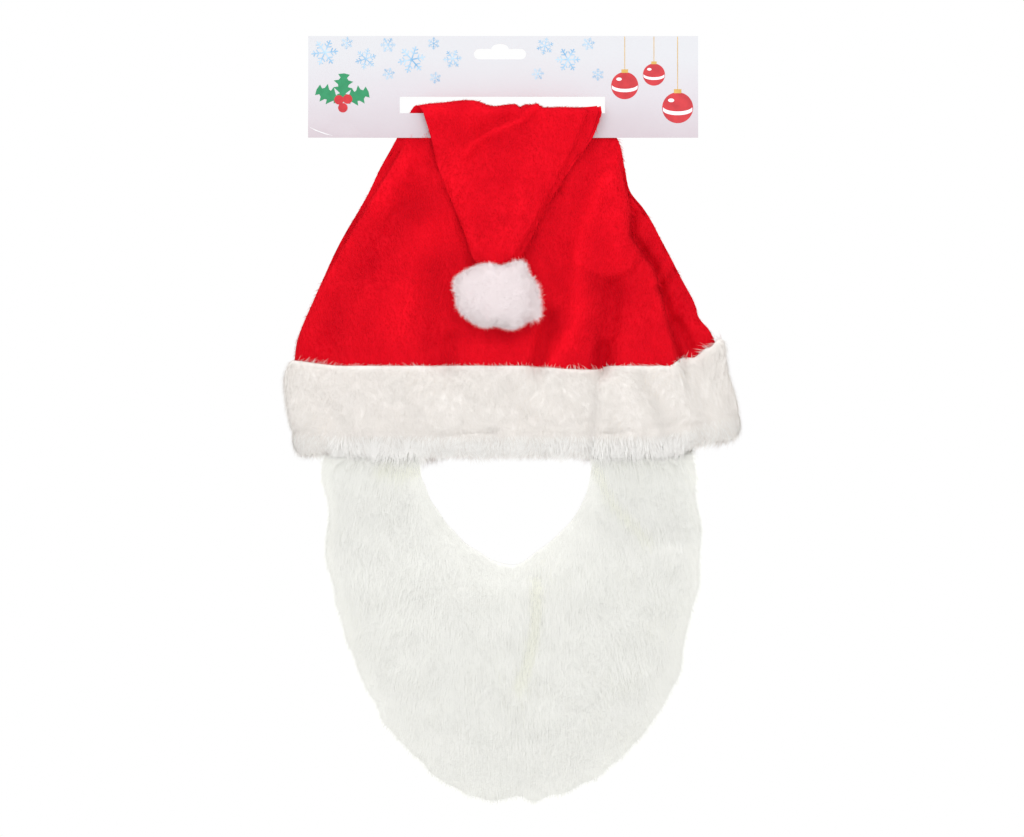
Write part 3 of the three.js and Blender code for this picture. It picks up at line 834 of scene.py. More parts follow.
def grow_fur(name, cloth, **settings):
    """Strands on a cloth as one plain mesh. The settings are named after the tree's inputs."""
    grower = add_object(name + "_grower", cloth.data)
    modifier = grower.modifiers.new("fur", "NODES")
    modifier.node_group = FUR_TREE
    for key, value in settings.items():
        title = FUR_TITLES.get(key, key.replace("_", " ").title())
        modifier[FUR_KEYS[title]] = value
    ready = grower.evaluated_get(bpy.context.evaluated_depsgraph_get())
    mesh = bpy.data.meshes.new_from_object(ready)
    mesh.name = name
    bpy.data.objects.remove(grower)
    ways = np.zeros(len(mesh.vertices) * 3, np.float32)
    mesh.attributes["cloth_way"].data.foreach_get("vector", ways)
    for layer in SCRATCH_LAYERS:
        if layer in mesh.attributes:
            mesh.attributes.remove(mesh.attributes[layer])
    own = np.zeros(len(mesh.vertices) * 3, np.float32)
    mesh.vertex_normals.foreach_get("vector", own)
    ways = ways.reshape(-1, 3)
    own = own.reshape(-1, 3)
    lying = smooth_step(LYING_FROM, LYING_FULL, (ways * own).sum(1))[:, None]
    mesh.normals_split_custom_set_from_vertices((lying * ways + (1 - lying) * own).tolist())
    made = add_object(name, mesh)
    print(name, triangles(made), "triangles")
    return made


print("layers cleared after growing:", len(SCRATCH_LAYERS))

# %% [markdown]
# The red pile is short and brushed downwards. It grows on every outer face that can be seen, but not
# inside the cone, under the cuff or on the hidden side of the flap, where nothing would show it.

# %% Red pile
PILE_WAY = (0.12, -0.35, -1.0)
PILE_BOTTOM = -0.1995
TOP_EDGE_PILE = 0.6
PILE_SWAY, PILE_SWAY_SIZE = 0.35, 0.05

pile = np.zeros(len(crown_vertices))
outer_part = np.repeat(RING_PARTS, around_out)
outer_side = np.tile(SIDES, len(RINGS))
under_cuff = np.repeat(RING_HEIGHTS < PILE_BOTTOM, around_out)
under_flap = (outer_part == FLAP) & (outer_side > 0)
pile[:count_out] = np.where(under_flap | under_cuff, 0, 1)
paint_points(crown, "pile", pile)
pile_length = np.ones(len(crown_vertices))
pile_length[:count_out] = np.where(outer_part == ARC, TOP_EDGE_PILE, 1)
paint_points(crown, "length", pile_length)
comb = np.tile(np.array(PILE_WAY), (len(crown_vertices), 1))
comb[:, 0] += PILE_SWAY * hills(crown_vertices, PILE_SWAY_SIZE, seed=5)
paint_points(crown, "comb", comb)
RED_STRAND = make_strand("red_strand", leans=(1.08, 1.33))
# The pile's tips are painted lighter and pinker than its roots, as a painted sheen.
RED_PILE = strand_material(
    "red_plush_pile", root=(0.77, 0.0005, 0.007), tip=(0.955, 0.0095, 0.026), dim=0.78, sheen=0.12)
red_pile = grow_fur(
    "crown_pile", crown, strand=RED_STRAND, strands=560000.0, length=0.0034, length_spread=0.3,
    width=0.0004, stray=0.35, lift=0.2, locks=60000.0, clump=0.25, wander=0.001, wander_size=0.006,
    patch_size=0.03, patch_share=0.5, seed=21, fur=RED_PILE)

# %% [markdown]
# ## The fur cuff
# The cuff is a strip of white fur laid round the hem, turned under and sewn, so it has a deep upper
# part, a sewn groove and a rolled lower hem. A profile gives the strip's shape below its top edge,
# and the crown's own cuts carry the profile round. The fur itself fills it out to its real size.

# %% Cuff profile
BAND_TOP = -0.1976
FUR_STRIP_OUT = 0.005
Turn = namedtuple("Turn", "down out")
BAND_PROFILE = [
    Turn(0.0000, 0.0012), Turn(0.0005, 0.0018), Turn(0.0009, 0.0022), Turn(0.0020, 0.0030),
    Turn(0.0070, 0.0040), Turn(0.0120, 0.0046), Turn(0.0190, 0.0049), Turn(0.0270, 0.0050),
    Turn(0.0330, 0.0048), Turn(0.0380, 0.0045), Turn(0.0406, 0.0041), Turn(0.0420, 0.0036),
    Turn(0.0434, 0.0040), Turn(0.0470, 0.0043), Turn(0.0510, 0.0040), Turn(0.0540, 0.0028),
    Turn(0.0556, 0.0008),
    Turn(0.0552, -0.0018), Turn(0.0530, -0.0038), Turn(0.0490, -0.0050), Turn(0.0440, -0.0048),
    Turn(0.0420, -0.0036), Turn(0.0424, -0.0026), Turn(0.0490, -0.0026), Turn(0.0492, 0.0004),
    Turn(0.0300, 0.0004), Turn(0.0100, 0.0004), Turn(0.0005, 0.0006),
]
INNER_TURNS = 7
BAND_FOLDS = {
    "left slant": Fold([(-0.0410, -0.2000), (-0.0540, -0.2380)], 0.0080, -0.0022),
    "smudge in the middle": Fold([(0.0120, -0.2050), (0.0100, -0.2350)], 0.0110, -0.0018),
    "join of the strip": Fold([(0.0610, -0.2030), (0.0575, -0.2560)], 0.0026, -0.0022),
    "lip of the join": Fold([(0.0660, -0.1960), (0.0650, -0.2560)], 0.0060, 0.0018),
    "crease of the right lobe": Fold(
        [(0.1210, -0.1960), (0.1265, -0.2150), (0.1300, -0.2440)], 0.0045, -0.0040),
    "sewn line on the left": Fold(
        [(-0.0905, -0.2444), (-0.0526, -0.2438), (-0.0310, -0.2406), (-0.0013, -0.2381)], 0.0014, -0.0018),
    "sewn line on the right": Fold(
        [(0.0640, -0.2400), (0.0868, -0.2370), (0.1050, -0.2352), (0.1200, -0.2380), (0.1292, -0.2405)],
        0.0014, -0.0022),
}
RIGHT_SWELL = [
    (0.000, 0.0012), (0.0036, 0.0004), (0.008, -0.0010), (0.0134, -0.0020), (0.0226, -0.0017),
    (0.030, 0.0004), (0.042, 0.0039), (0.056, 0.0047),
]
RIGHT_FROM, RIGHT_TO = 0.118, 0.146
RIGHT_FLARE = 0.0058
FLARE_FROM, FLARE_TO = 0.116, 0.142
LEFT_SWELL = 0.0025
LEFT_FROM, LEFT_TO = -0.112, -0.134
LEFT_ROUNDING = 0.012
LEFT_RISE = 0.0042
LEFT_RISE_FROM, LEFT_RISE_TO = -0.098, -0.140
BAND_DEPTH = 0.0556
JOIN_X = 0.0610
TOP_DIP = 0.0024
DIP_FROM, DIP_LOW, DIP_END = 0.010, 0.052, 0.068
TOP_BUMPS = [
    (0.1000, 0.0000), (0.1076, -0.0009), (0.1114, 0.0005), (0.1140, 0.0018), (0.1178, 0.0015),
    (0.1228, -0.0008), (0.1260, -0.0004), (0.1292, 0.0008), (0.1336, 0.0000), (0.1368, 0.0020),
    (0.1393, 0.0026), (0.1440, 0.0010),
]
BUMP_FADE = 6
print("cuff profile:", len(BAND_PROFILE), "turns")

# %% Cuff mesh
BAND_LUMPS = 0.0005
BAND_LUMP_SIZE = 0.016
LUMPS_OUT = 0.001
BAND_FRONT = 170
BAND_BACK = 110

band_places, band_sides = around(BAND_FRONT, BAND_BACK)
band_rows = []
for turn in BAND_PROFILE:
    z = BAND_TOP - turn.down
    cut = smooth_rows(BODY_CUTS, max(z, CROWN_HEM))
    ring = np.array([[z, *cut, 0, BODY]])
    row = crown_points(ring, band_places, band_sides, turn.out)[0][0]
    swell = np.sqrt(np.clip(1 - band_places**2, 0, 1))
    push = fold_rise(row[:, 0], np.full(len(row), z), BAND_FOLDS.values())
    push = push * swell * max(turn.out, 0) / FUR_STRIP_OUT
    lumps = BAND_LUMPS * hills(row, BAND_LUMP_SIZE, seed=8) * (turn.out > LUMPS_OUT)
    row[:, 1] -= band_sides * np.where(band_sides > 0, push + lumps, lumps)
    above_hem = 1 - turn.down / BAND_DEPTH
    row[:, 2] += LEFT_RISE * smooth_step(LEFT_RISE_FROM, LEFT_RISE_TO, row[:, 0]) * above_hem
    row[:, 2] += RIGHT_FLARE * smooth_step(FLARE_FROM, FLARE_TO, row[:, 0]) * above_hem
    dip = smooth_step(DIP_FROM, DIP_LOW, row[:, 0]) * smooth_step(DIP_END, JOIN_X, row[:, 0])
    row[:, 2] -= TOP_DIP * dip * above_hem**2 * (band_sides > 0)
    row[:, 0] += smooth_rows(RIGHT_SWELL, turn.down) * smooth_step(RIGHT_FROM, RIGHT_TO, row[:, 0])
    rounded = smooth_step(0, LEFT_ROUNDING, turn.down)
    row[:, 0] -= LEFT_SWELL * rounded * smooth_step(LEFT_FROM, LEFT_TO, row[:, 0])
    row[:, 2] += smooth_rows(TOP_BUMPS, row[:, 0])[:, 0] * above_hem**BUMP_FADE
    band_rows.append(row)
band_grid = np.array(band_rows + band_rows[:1])
band_count = band_grid.shape[1]
band_faces = ring_faces(len(BAND_PROFILE) + 1, band_count)
last = len(BAND_PROFILE) * band_count
band_faces = [[corner % last for corner in face] for face in band_faces]
band = make_mesh("fur_band_strip", band_grid[:-1], band_faces)
WHITE_DARK = (0.84, 0.80, 0.765)
WHITE_LIGHT = (0.88, 0.85, 0.82)
band.data.materials.append(
    cloth_material("white_plush_backing", WHITE_DARK, WHITE_LIGHT, PLUSH_GRAIN, sheen=0.1))
print("cuff:", triangles(band), "triangles")

# %% Cuff fur
WISP_DEPTH = 0.0007
HIDDEN_OUT = -0.0034
ROLL_FROM = 0.048
TUFT_SIZE = 0.03
TUFT_LOW, TUFT_HIGH = 0.4, 1.4
LEFT_WISPS = (-0.098, -0.112)
RIGHT_WISPS = (0.108, 0.122)
JOIN_WISPS = (0.009, 0.003)
WISP_LENGTH, ROLL_LENGTH, TUFT_LENGTH = 0.6, 1.2, 0.6
CUFF_SWAY, CUFF_SWAY_SIZE = 0.6, 0.03

turn_of_point = np.repeat(np.arange(len(BAND_PROFILE)), band_count)
down = np.array([turn.down for turn in BAND_PROFILE])[turn_of_point]
out = np.array([turn.out for turn in BAND_PROFILE])[turn_of_point]
band_points = band_grid[:-1].reshape(-1, 3)
hidden = (out < HIDDEN_OUT) | (turn_of_point >= len(BAND_PROFILE) - INNER_TURNS)
paint_points(band, "pile", np.where(hidden, 0.0, 1.0))
tufts = smooth_step(TUFT_LOW, TUFT_HIGH, hills(band_points, TUFT_SIZE, seed=16))
at_ends = smooth_step(*LEFT_WISPS, band_points[:, 0]) + smooth_step(*RIGHT_WISPS, band_points[:, 0])
at_join = smooth_step(*JOIN_WISPS, np.abs(band_points[:, 0] - JOIN_X))
wisps = WISP_LENGTH + TUFT_LENGTH * tufts + TUFT_LENGTH * (at_ends + at_join)
below = np.where(down > ROLL_FROM, ROLL_LENGTH + TUFT_LENGTH * tufts, 1.0)
paint_points(band, "length", np.where(down < WISP_DEPTH, wisps, below))
band_comb = np.gradient(band_grid[:-1], axis=0).reshape(-1, 3)
band_comb /= np.linalg.norm(band_comb, axis=1)[:, None]
band_comb *= np.where(down < WISP_DEPTH, -1.0, 1.0)[:, None]
band_comb[:, 0] += CUFF_SWAY * hills(band_points, CUFF_SWAY_SIZE, seed=12)
paint_points(band, "comb", band_comb)
FUR_STRAND = make_strand("fur_strand", leans=(1.08, 1.36))
CUFF_FUR = strand_material(
    "white_plush_fur", root=(0.845, 0.81, 0.77), tip=(0.875, 0.85, 0.818), dim=0.98, sheen=0.0)
band_fur = grow_fur(
    "fur_band_fur", band, strand=FUR_STRAND, strands=1200000.0, length=0.0050, length_spread=0.35,
    width=0.00032, stray=0.35, lift=0.18, locks=60000.0, clump=0.14, wander=0.0012, wander_size=0.008,
    patch_size=0.03, patch_share=0.3, seed=31, fur=CUFF_FUR)

# %% [markdown]
# Along the rolled hem the fur is longer and hangs as a fringe. It is longest over the beard's arms,
# where it covers the seam, and shortest at the two ends of the cuff. The same strip grows it, with
# its pile, length and comb painted anew.

# %% Hem fringe
BEARD_MIDDLE = 0.006
FRINGE_TOP, FRINGE_BOTTOM, FRINGE_OUT = 0.046, 0.0545, 0.002
ARM_INSIDE = (0.050, 0.057)
ARM_OUTSIDE = (0.114, 0.106)
HEM_END = (0.106, 0.118)
FRINGE_LENGTH, FRINGE_TUFTS, FRINGE_ARMS, FRINGE_ENDS = 0.75, 0.4, 0.45, 0.4
FRINGE_WAY = (0.0, -0.25, -1.0)
FRINGE_SWAY, FRINGE_SWAY_SIZE = 0.4, 0.02

fringed = (down > FRINGE_TOP) & (down < FRINGE_BOTTOM) & (out > FRINGE_OUT)
paint_points(band, "pile", np.where(fringed, 1.0, 0.0))
from_middle = np.abs(band_points[:, 0] - BEARD_MIDDLE)
over_arms = smooth_step(*ARM_INSIDE, from_middle) * smooth_step(*ARM_OUTSIDE, from_middle)
hem_ends = smooth_step(*HEM_END, from_middle)
fringe_length = FRINGE_LENGTH + FRINGE_TUFTS * tufts + FRINGE_ARMS * over_arms - FRINGE_ENDS * hem_ends
paint_points(band, "length", fringe_length)
fringe_comb = np.tile(FRINGE_WAY, (len(band_points), 1))
fringe_comb[:, 0] = FRINGE_SWAY * hills(band_points, FRINGE_SWAY_SIZE, seed=27)
paint_points(band, "comb", fringe_comb)
# The fringe's fur is painted lighter than the cuff's: painted light that lifts the shade under the cuff.
HEM_FUR_PAINTED_LIGHT = strand_material(
    "white_hem_fur_painted_light", root=(0.950, 0.938, 0.912), tip=(0.972, 0.965, 0.944), dim=0.98, sheen=0.0)
band_fringe = grow_fur(
    "fur_band_fringe", band, strand=FUR_STRAND, strands=3000000.0, length=0.0080, length_spread=0.4,
    width=0.00032, stray=0.3, lift=0.15, locks=40000.0, clump=0.15, wander=0.001, wander_size=0.008,
    patch_size=0.03, patch_share=0.3, seed=33, fur=HEM_FUR_PAINTED_LIGHT)

# %% [markdown]
# ## The beard
# The beard is one flat piece of long white fur fabric, cut with a mouth and sewn in under the cuff.
# Two edge lines, one along the mouth and one along the outside, bound the fabric, and rows of points
# run from one to the other. The outer edge is let out a little past its line and waves in and out,
# as cut fur does, and the hair that is combed over it softens it.

# %% Beard edges
MOUTH_EDGE = [
    (-0.0500, -0.2400), (-0.0495, -0.2660), (-0.0400, -0.2875), (-0.0234, -0.3077), (-0.0050, -0.3200),
    (0.0080, -0.3230), (0.0240, -0.3140), (0.0435, -0.2970), (0.0545, -0.2770), (0.0575, -0.2400),
]
OUTER_EDGE = [
    (-0.1045, -0.2400), (-0.1107, -0.2650), (-0.1072, -0.2850), (-0.1075, -0.3160), (-0.0985, -0.3590),
    (-0.0855, -0.3980), (-0.0620, -0.4350), (-0.0270, -0.4640), (-0.0120, -0.4700), (0.0110, -0.4690),
    (0.0260, -0.4710), (0.0420, -0.4650), (0.0660, -0.4520), (0.0950, -0.4230), (0.1120, -0.3850),
    (0.1200, -0.3500), (0.1250, -0.3120), (0.1222, -0.2840), (0.1203, -0.2620), (0.1160, -0.2400),
]
print("mouth edge:", len(MOUTH_EDGE), "outer edge:", len(OUTER_EDGE), "points")

# %% Beard outline
BEARD_COLUMNS = 150
LET_OUT_SIDE = 0.0018
LET_OUT_BELOW = 0.0004
EDGE_WAVES = 0.0011
EDGE_WAVE_SIZE = 0.019
MOUTH_WAVES = 0.35


def edge_line(points, count):
    """Evenly spaced places on a smooth line through the points."""
    points = np.array(points)
    marks = np.concatenate([[0], np.cumsum(np.linalg.norm(np.diff(points, axis=0), axis=1))])
    fine = smooth_rows(np.column_stack([marks, points]), np.linspace(0, marks[-1], 4 * count))
    run = np.concatenate([[0], np.cumsum(np.linalg.norm(np.diff(fine, axis=0), axis=1))])
    even = np.linspace(0, run[-1], count)
    return np.column_stack([np.interp(even, run, fine[:, axis]) for axis in (0, 1)])


def edge_waves(line, seed):
    """How far a cut edge of the fur waves in and out at each place of a line."""
    return EDGE_WAVES * hills(np.column_stack([line, 0 * line[:, 0]]), EDGE_WAVE_SIZE, seed)


def right_of(line):
    """The direction to the right of a line at each of its places."""
    way = np.gradient(line, axis=0)
    return np.column_stack([way[:, 1], -way[:, 0]]) / np.linalg.norm(way, axis=1)[:, None]


mouth_line = edge_line(MOUTH_EDGE, BEARD_COLUMNS + 1)
mouth_line += right_of(mouth_line) * MOUTH_WAVES * edge_waves(mouth_line, seed=19)[:, None]
outer_line = edge_line(OUTER_EDGE, BEARD_COLUMNS + 1)
outwards = right_of(outer_line)
let_out = LET_OUT_SIDE + (LET_OUT_BELOW - LET_OUT_SIDE) * np.clip(-outwards[:, 1], 0, 1)
fabric_line = outer_line + outwards * (let_out - edge_waves(outer_line, seed=15))[:, None]
print("beard outline:", len(fabric_line), "points, let out by", let_out.max().round(4), "m at most")

# %% Lie of the beard
BEARD_ROWS = 40
HANG_FROM, TUCK_BOTTOM = -0.300, -0.255
HANG_Y, HANG_SWEEP = -0.011, 0.006
BAND_CLEAR = 0.0068
TUCK_THICK = 0.0035


def beard_back(x, z):
    """How far back the beard lies: tucked up inside the cuff above, and hanging free below."""
    hem = BODY_CUTS[0]
    u = np.clip((x - (hem.left + hem.right) / 2) / ((hem.right - hem.left) / 2), -1, 1)
    tucked = hem.y - (hem.half - BAND_CLEAR) * np.sqrt(1 - u**2) + TUCK_THICK
    hanging = HANG_Y + HANG_SWEEP * u**2
    return hanging + (tucked - hanging) * smooth_step(HANG_FROM, TUCK_BOTTOM, z)


shares = np.linspace(0, 1, BEARD_ROWS + 1)[:, None, None]
flat = mouth_line[None] * (1 - shares) + fabric_line[None] * shares
beard_x, beard_z = flat[..., 0], flat[..., 1]
back_y = beard_back(beard_x, beard_z)
print("the beard's back lies between", back_y.min().round(4), "and", back_y.max().round(4))

# %% Beard fabric
BEARD_WALL = 0.0022
BEARD_LUMPS = 0.0003
BEARD_LUMP_SIZE = 0.035
BEARD_DOME, DOME_POWER = 0.0045, 0.6
SHARP_EDGE = math.radians(50)
ARM_SWELL = 0.0082
SWELL_TOP, SWELL_FULL, SWELL_FADE, SWELL_END = -0.2500, -0.2560, -0.2700, -0.3200
BEARD_FOLDS = {
    "groove in the middle": Fold(
        [(0.0234, -0.3330), (0.0222, -0.3584), (0.0190, -0.3774), (0.0108, -0.3996)], 0.0050, -0.0010),
    "faint slant": Fold([(-0.0127, -0.3964), (0.0000, -0.4185)], 0.0060, -0.0006),
    "crease on the right arm": Fold(
        [(0.0728, -0.2634), (0.0950, -0.3046), (0.1203, -0.3141)], 0.0100, -0.0007),
    "crease on the left arm": Fold([(-0.0850, -0.2600), (-0.0780, -0.3000)], 0.0100, -0.0006),
    "hollow under the mouth": Fold([(-0.0050, -0.3290), (0.0200, -0.3290)], 0.0080, -0.0008),
}

tuck = smooth_step(HANG_FROM, TUCK_BOTTOM, beard_z)
spots = np.stack([beard_x, 0 * beard_x, beard_z], -1)
rise = fold_rise(beard_x, beard_z, BEARD_FOLDS.values())
rise += BEARD_LUMPS * hills(spots, BEARD_LUMP_SIZE, seed=14)
rise += BEARD_DOME * np.sin(np.pi * shares[..., 0]) ** DOME_POWER
arm_swell = ARM_SWELL * smooth_step(SWELL_TOP, SWELL_FULL, beard_z)
arm_swell *= 1 - smooth_step(SWELL_FADE, SWELL_END, beard_z)
front_y = back_y - BEARD_WALL - rise * (1 - tuck) - arm_swell
beard_front = np.stack([beard_x, front_y, beard_z], -1)
beard_behind = np.stack([beard_x, front_y + BEARD_WALL, beard_z], -1)
rows, columns = beard_x.shape
count = rows * columns
beard_faces = ring_faces(rows, columns, closed=False)
beard_faces += ring_faces(rows, columns, first=count, closed=False)
edge = list(range(columns)) + [row * columns + columns - 1 for row in range(1, rows)]
edge += [count - 1 - step for step in range(1, columns)] + [row * columns for row in range(rows - 2, 0, -1)]
for a, b in zip(edge, edge[1:] + edge[:1]):
    beard_faces.append([a, b, b + count, a + count])
beard = make_mesh("beard_fabric", np.stack([beard_front, beard_behind]), beard_faces)
BEARD_DARK = (0.83, 0.83, 0.79)
BEARD_LIGHT = (0.86, 0.86, 0.83)
beard.data.materials.append(
    cloth_material("beard_backing", BEARD_DARK, BEARD_LIGHT, grain=0.0011, sheen=0.0))
beard.data.set_sharp_from_angle(angle=SHARP_EDGE)
print("beard fabric:", triangles(beard), "triangles")

# %% [markdown]
# The hair grows on the front alone, in two layers with seeds of their own, so that neither piece gets
# too heavy. It hangs down, fans out a little to both sides, gets shorter towards the edges and is
# combed out over them. Painted shade, a little darker and more yellow, runs in a few streaks along the
# groove in the middle and on both arms below the cuff, where the picture shows them.

# %% Beard hair
EDGE_COMB, EDGE_COMBED = 0.8, (0.88, 1.0)
MOUTH_COMB, MOUTH_COMBED = 0.5, (0.12, 0.0)
EDGE_SHORTER, EDGE_SHORT = 0.4, (0.75, 1.0)
MOUTH_SHORTER, MOUTH_SHORT = 0.5, (0.25, 0.0)
HAIR_SWAY, HAIR_SWAY_SIZE = 0.08, 0.05
HAIR_FAN, BEARD_HALF_WIDTH = 0.25, 0.115
HAIR_LAYERS = {"under": 41, "over": 43}
FOLD_SHADE_STREAKS = [
    Fold([(0.0234, -0.3330), (0.0222, -0.3584), (0.0190, -0.3774), (0.0120, -0.3960)], 0.0034, -2.2),
    Fold([(-0.0740, -0.2600), (-0.0540, -0.2630)], 0.0040, -1.5),
    Fold([(0.0610, -0.2630), (0.0700, -0.2800), (0.0930, -0.3050)], 0.0040, -1.4),
]

on_front = np.concatenate([np.ones(count), np.zeros(count)])
share_of_point = np.tile(np.repeat(shares[:, 0, 0], columns), 2)
beard_spots = np.concatenate([spots.reshape(-1, 3)] * 2)
paint_points(beard, "pile", on_front)
hair_length = 1.0 - EDGE_SHORTER * smooth_step(*EDGE_SHORT, share_of_point)
hair_length -= MOUTH_SHORTER * smooth_step(*MOUTH_SHORT, share_of_point)
paint_points(beard, "length", hair_length)
beard_comb = np.zeros((2 * count, 3))
beard_comb[:, 0] = HAIR_SWAY * hills(beard_spots, HAIR_SWAY_SIZE, seed=17)
beard_comb[:, 0] += HAIR_FAN * (beard_spots[:, 0] - BEARD_MIDDLE) / BEARD_HALF_WIDTH
beard_comb[:, 2] = -1.0
to_outside = np.tile(outwards, (2 * rows, 1))
to_mouth = np.tile(right_of(mouth_line), (2 * rows, 1))
near_outside = EDGE_COMB * smooth_step(*EDGE_COMBED, share_of_point)[:, None]
near_mouth = MOUTH_COMB * smooth_step(*MOUTH_COMBED, share_of_point)[:, None]
beard_comb[:, [0, 2]] += near_outside * to_outside - near_mouth * to_mouth
paint_points(beard, "comb", beard_comb)
# Painted shade: the groove and the arms below the cuff are painted darker and more yellow.
fold_shade = fold_rise(beard_spots[:, 0], beard_spots[:, 2], FOLD_SHADE_STREAKS)
paint_points(beard, "nap", on_front * fold_shade)
HAIR_STRAND = make_strand("hair_strand", leans=(1.43, 1.53))
HAIR = strand_material(
    "beard_hair", root=(0.903, 0.903, 0.857), tip=(0.928, 0.932, 0.908), dim=0.98, sheen=0.0)
beard_hair = []
for layer, seed in HAIR_LAYERS.items():
    beard_hair.append(grow_fur(
        "beard_hair_" + layer, beard, strand=HAIR_STRAND, strands=1250000.0, length=0.010,
        length_spread=0.35, width=0.0002, stray=0.06, lift=0.04, locks=30000.0, clump=0.04,
        wander=0.0005, wander_size=0.012, patch_size=0.04, patch_share=0.3, seed=seed, fur=HAIR))

# %% [markdown]
# ## The pompom
# A pompom is a tight ball of yarn ends, cut to one length. Here it is a lumpy core with strands that
# lie over every way and gather into soft tufts. The lumps make the tufts sit at different heights. Its
# outline isn't round, so a table gives how far it reaches at each turn.

# %% Pompom core
POMPOM_MIDDLE = (-0.0019, -0.0376, -0.1532)
POMPOM_DEPTH = 0.0172
POMPOM_SQUARE = 0.86
POMPOM_LUMPS, POMPOM_LUMP_SIZE = 0.035, 0.8
YARN_OVER_CORE = 0.0034
Spoke = namedtuple("Spoke", "turn reach")
POMPOM_OUTLINE = [
    Spoke(1, 0.0281), Spoke(29, 0.0265), Spoke(41, 0.0278), Spoke(50, 0.0283), Spoke(60, 0.0243),
    Spoke(86, 0.0190), Spoke(117, 0.0226), Spoke(143, 0.0265), Spoke(164, 0.0295), Spoke(183, 0.0270),
    Spoke(206, 0.0282), Spoke(220, 0.0262), Spoke(237, 0.0246), Spoke(255, 0.0226), Spoke(269, 0.0208),
    Spoke(286, 0.0226), Spoke(301, 0.0260), Spoke(312, 0.0274), Spoke(322, 0.0270), Spoke(332, 0.0312),
    Spoke(345, 0.0298),
]
RIM_POWER = 3
TUFT_GROOVE = Fold([(0.0195, -0.1365), (0.0215, -0.1500), (0.0200, -0.1720)], 0.0030, -0.0050)

bpy.ops.mesh.primitive_ico_sphere_add(subdivisions=5, radius=1)
ball = bpy.context.object
ways = np.array([vertex.co for vertex in ball.data.vertices])
ball_faces = [list(face.vertices) for face in ball.data.polygons]
bpy.data.objects.remove(ball)
turns = np.degrees(np.arctan2(ways[:, 2], ways[:, 0])) % 360
wheel = POMPOM_OUTLINE + [Spoke(first.turn + 360, first.reach) for first in POMPOM_OUTLINE[:2]]
wheel += [Spoke(final.turn - 360, final.reach) for final in POMPOM_OUTLINE[-2:]]
reach = smooth_rows(wheel, turns)[:, 0]
flat = np.hypot(ways[:, 0], ways[:, 2])
middle_reach = np.mean([spoke.reach for spoke in POMPOM_OUTLINE])
reach = middle_reach + (reach - middle_reach) * flat**RIM_POWER - YARN_OVER_CORE
swell = (1 + POMPOM_LUMPS * hills(ways, POMPOM_LUMP_SIZE, seed=23)) / np.maximum(flat, 1e-6)
ball_points = np.column_stack([
    ways[:, 0] * swell * reach * flat**POMPOM_SQUARE,
    np.sign(ways[:, 1]) * np.abs(ways[:, 1]) ** POMPOM_SQUARE * POMPOM_DEPTH,
    ways[:, 2] * swell * reach * flat**POMPOM_SQUARE])
ball_points += np.array(POMPOM_MIDDLE)
groove = fold_rise(ball_points[:, 0], ball_points[:, 2], [TUFT_GROOVE])
ball_points[:, 1] -= np.where(ways[:, 1] < 0, groove, 0)
pompom = make_mesh("pompom_core", ball_points, ball_faces)
# The yarn is off-white. The pink in it is a painted reflection of the red crown beside it.
YARN_DARK_WITH_RED_REFLECTION = (0.94, 0.87, 0.87)
YARN_LIGHT_WITH_RED_REFLECTION = (0.97, 0.91, 0.91)
pompom.data.materials.append(
    cloth_material("pompom_yarn_core", YARN_DARK_WITH_RED_REFLECTION, YARN_LIGHT_WITH_RED_REFLECTION, grain=0.001, sheen=0.0))
print("pompom core:", triangles(pompom), "triangles")

# %% Pompom yarn
YARN_SWAY, YARN_SWAY_SIZE = 0.3, 0.5
YARN_SEEDS = (24, 25, 26)

paint_points(pompom, "pile", np.ones(len(ball_points)))
paint_points(pompom, "length", np.ones(len(ball_points)))
sway = np.column_stack([hills(ways, YARN_SWAY_SIZE, seed) for seed in YARN_SEEDS])
paint_points(pompom, "comb", ways * np.array([1, 0, 1]) + YARN_SWAY * sway)
YARN_STRAND = make_strand("yarn_strand", leans=(1.1, 1.4))
# The pink of the strands is also a painted reflection of the red crown.
YARN_WITH_RED_REFLECTION = strand_material(
    "pompom_yarn", root=(1.0, 0.905, 0.915), tip=(1.0, 0.937, 0.942), dim=0.975, sheen=0.0)
pompom_fur = grow_fur(
    "pompom_fur", pompom, strand=YARN_STRAND, strands=5500000.0, length=0.0048, length_spread=0.5,
    width=0.0003, stray=3.14, lift=0.25, locks=90000.0, clump=0.2, wander=0.0015, wander_size=0.006,
    patch_size=0.006, patch_share=0.7, seed=51, fur=YARN_WITH_RED_REFLECTION)

# %% [markdown]
# ## The header card
# The card is half a millimetre of coated board with a hole for a shop's hook and a long slot for the
# hat. Its face is filled with small triangles between the outlines, so that it can bow and crease a
# little as real board does, and then given its thickness.

# %% Card outlines
CARD_LEFT, CARD_RIGHT, CARD_TOP, CARD_BOTTOM = -0.1215, 0.1255, 0.0115, -0.0530
CARD_THICK = 0.0005
SLOT_LEFT, SLOT_RIGHT, SLOT_TOP, SLOT_BOTTOM = -0.0635, 0.0665, -0.0270, -0.0374
HOLE_WIDTH, HOLE_HEIGHT = 0.033, 0.0066
HUMP_WIDTH, HUMP_RISE = 0.011, 0.0032
CARD_STEP = 0.004
END_STEPS, HUMP_STEPS = 10, 14


def arc(middle_x, middle_z, radius_x, radius_z, start, end, steps):
    """Points on part of an ellipse, from one angle in degrees to another."""
    turns = np.radians(np.linspace(start, end, steps + 1))
    return [(middle_x + radius_x * math.cos(t), middle_z + radius_z * math.sin(t)) for t in turns]


def box_outline(left, right, bottom, top, step):
    """A rectangle's outline, with points along its sides."""
    across = np.linspace(left, right, max(2, round((right - left) / step) + 1))
    up = np.linspace(bottom, top, max(2, round((top - bottom) / step) + 1))
    line = [(x, bottom) for x in across[:-1]] + [(right, z) for z in up[:-1]]
    return line + [(x, top) for x in across[:0:-1]] + [(left, z) for z in up[:0:-1]]


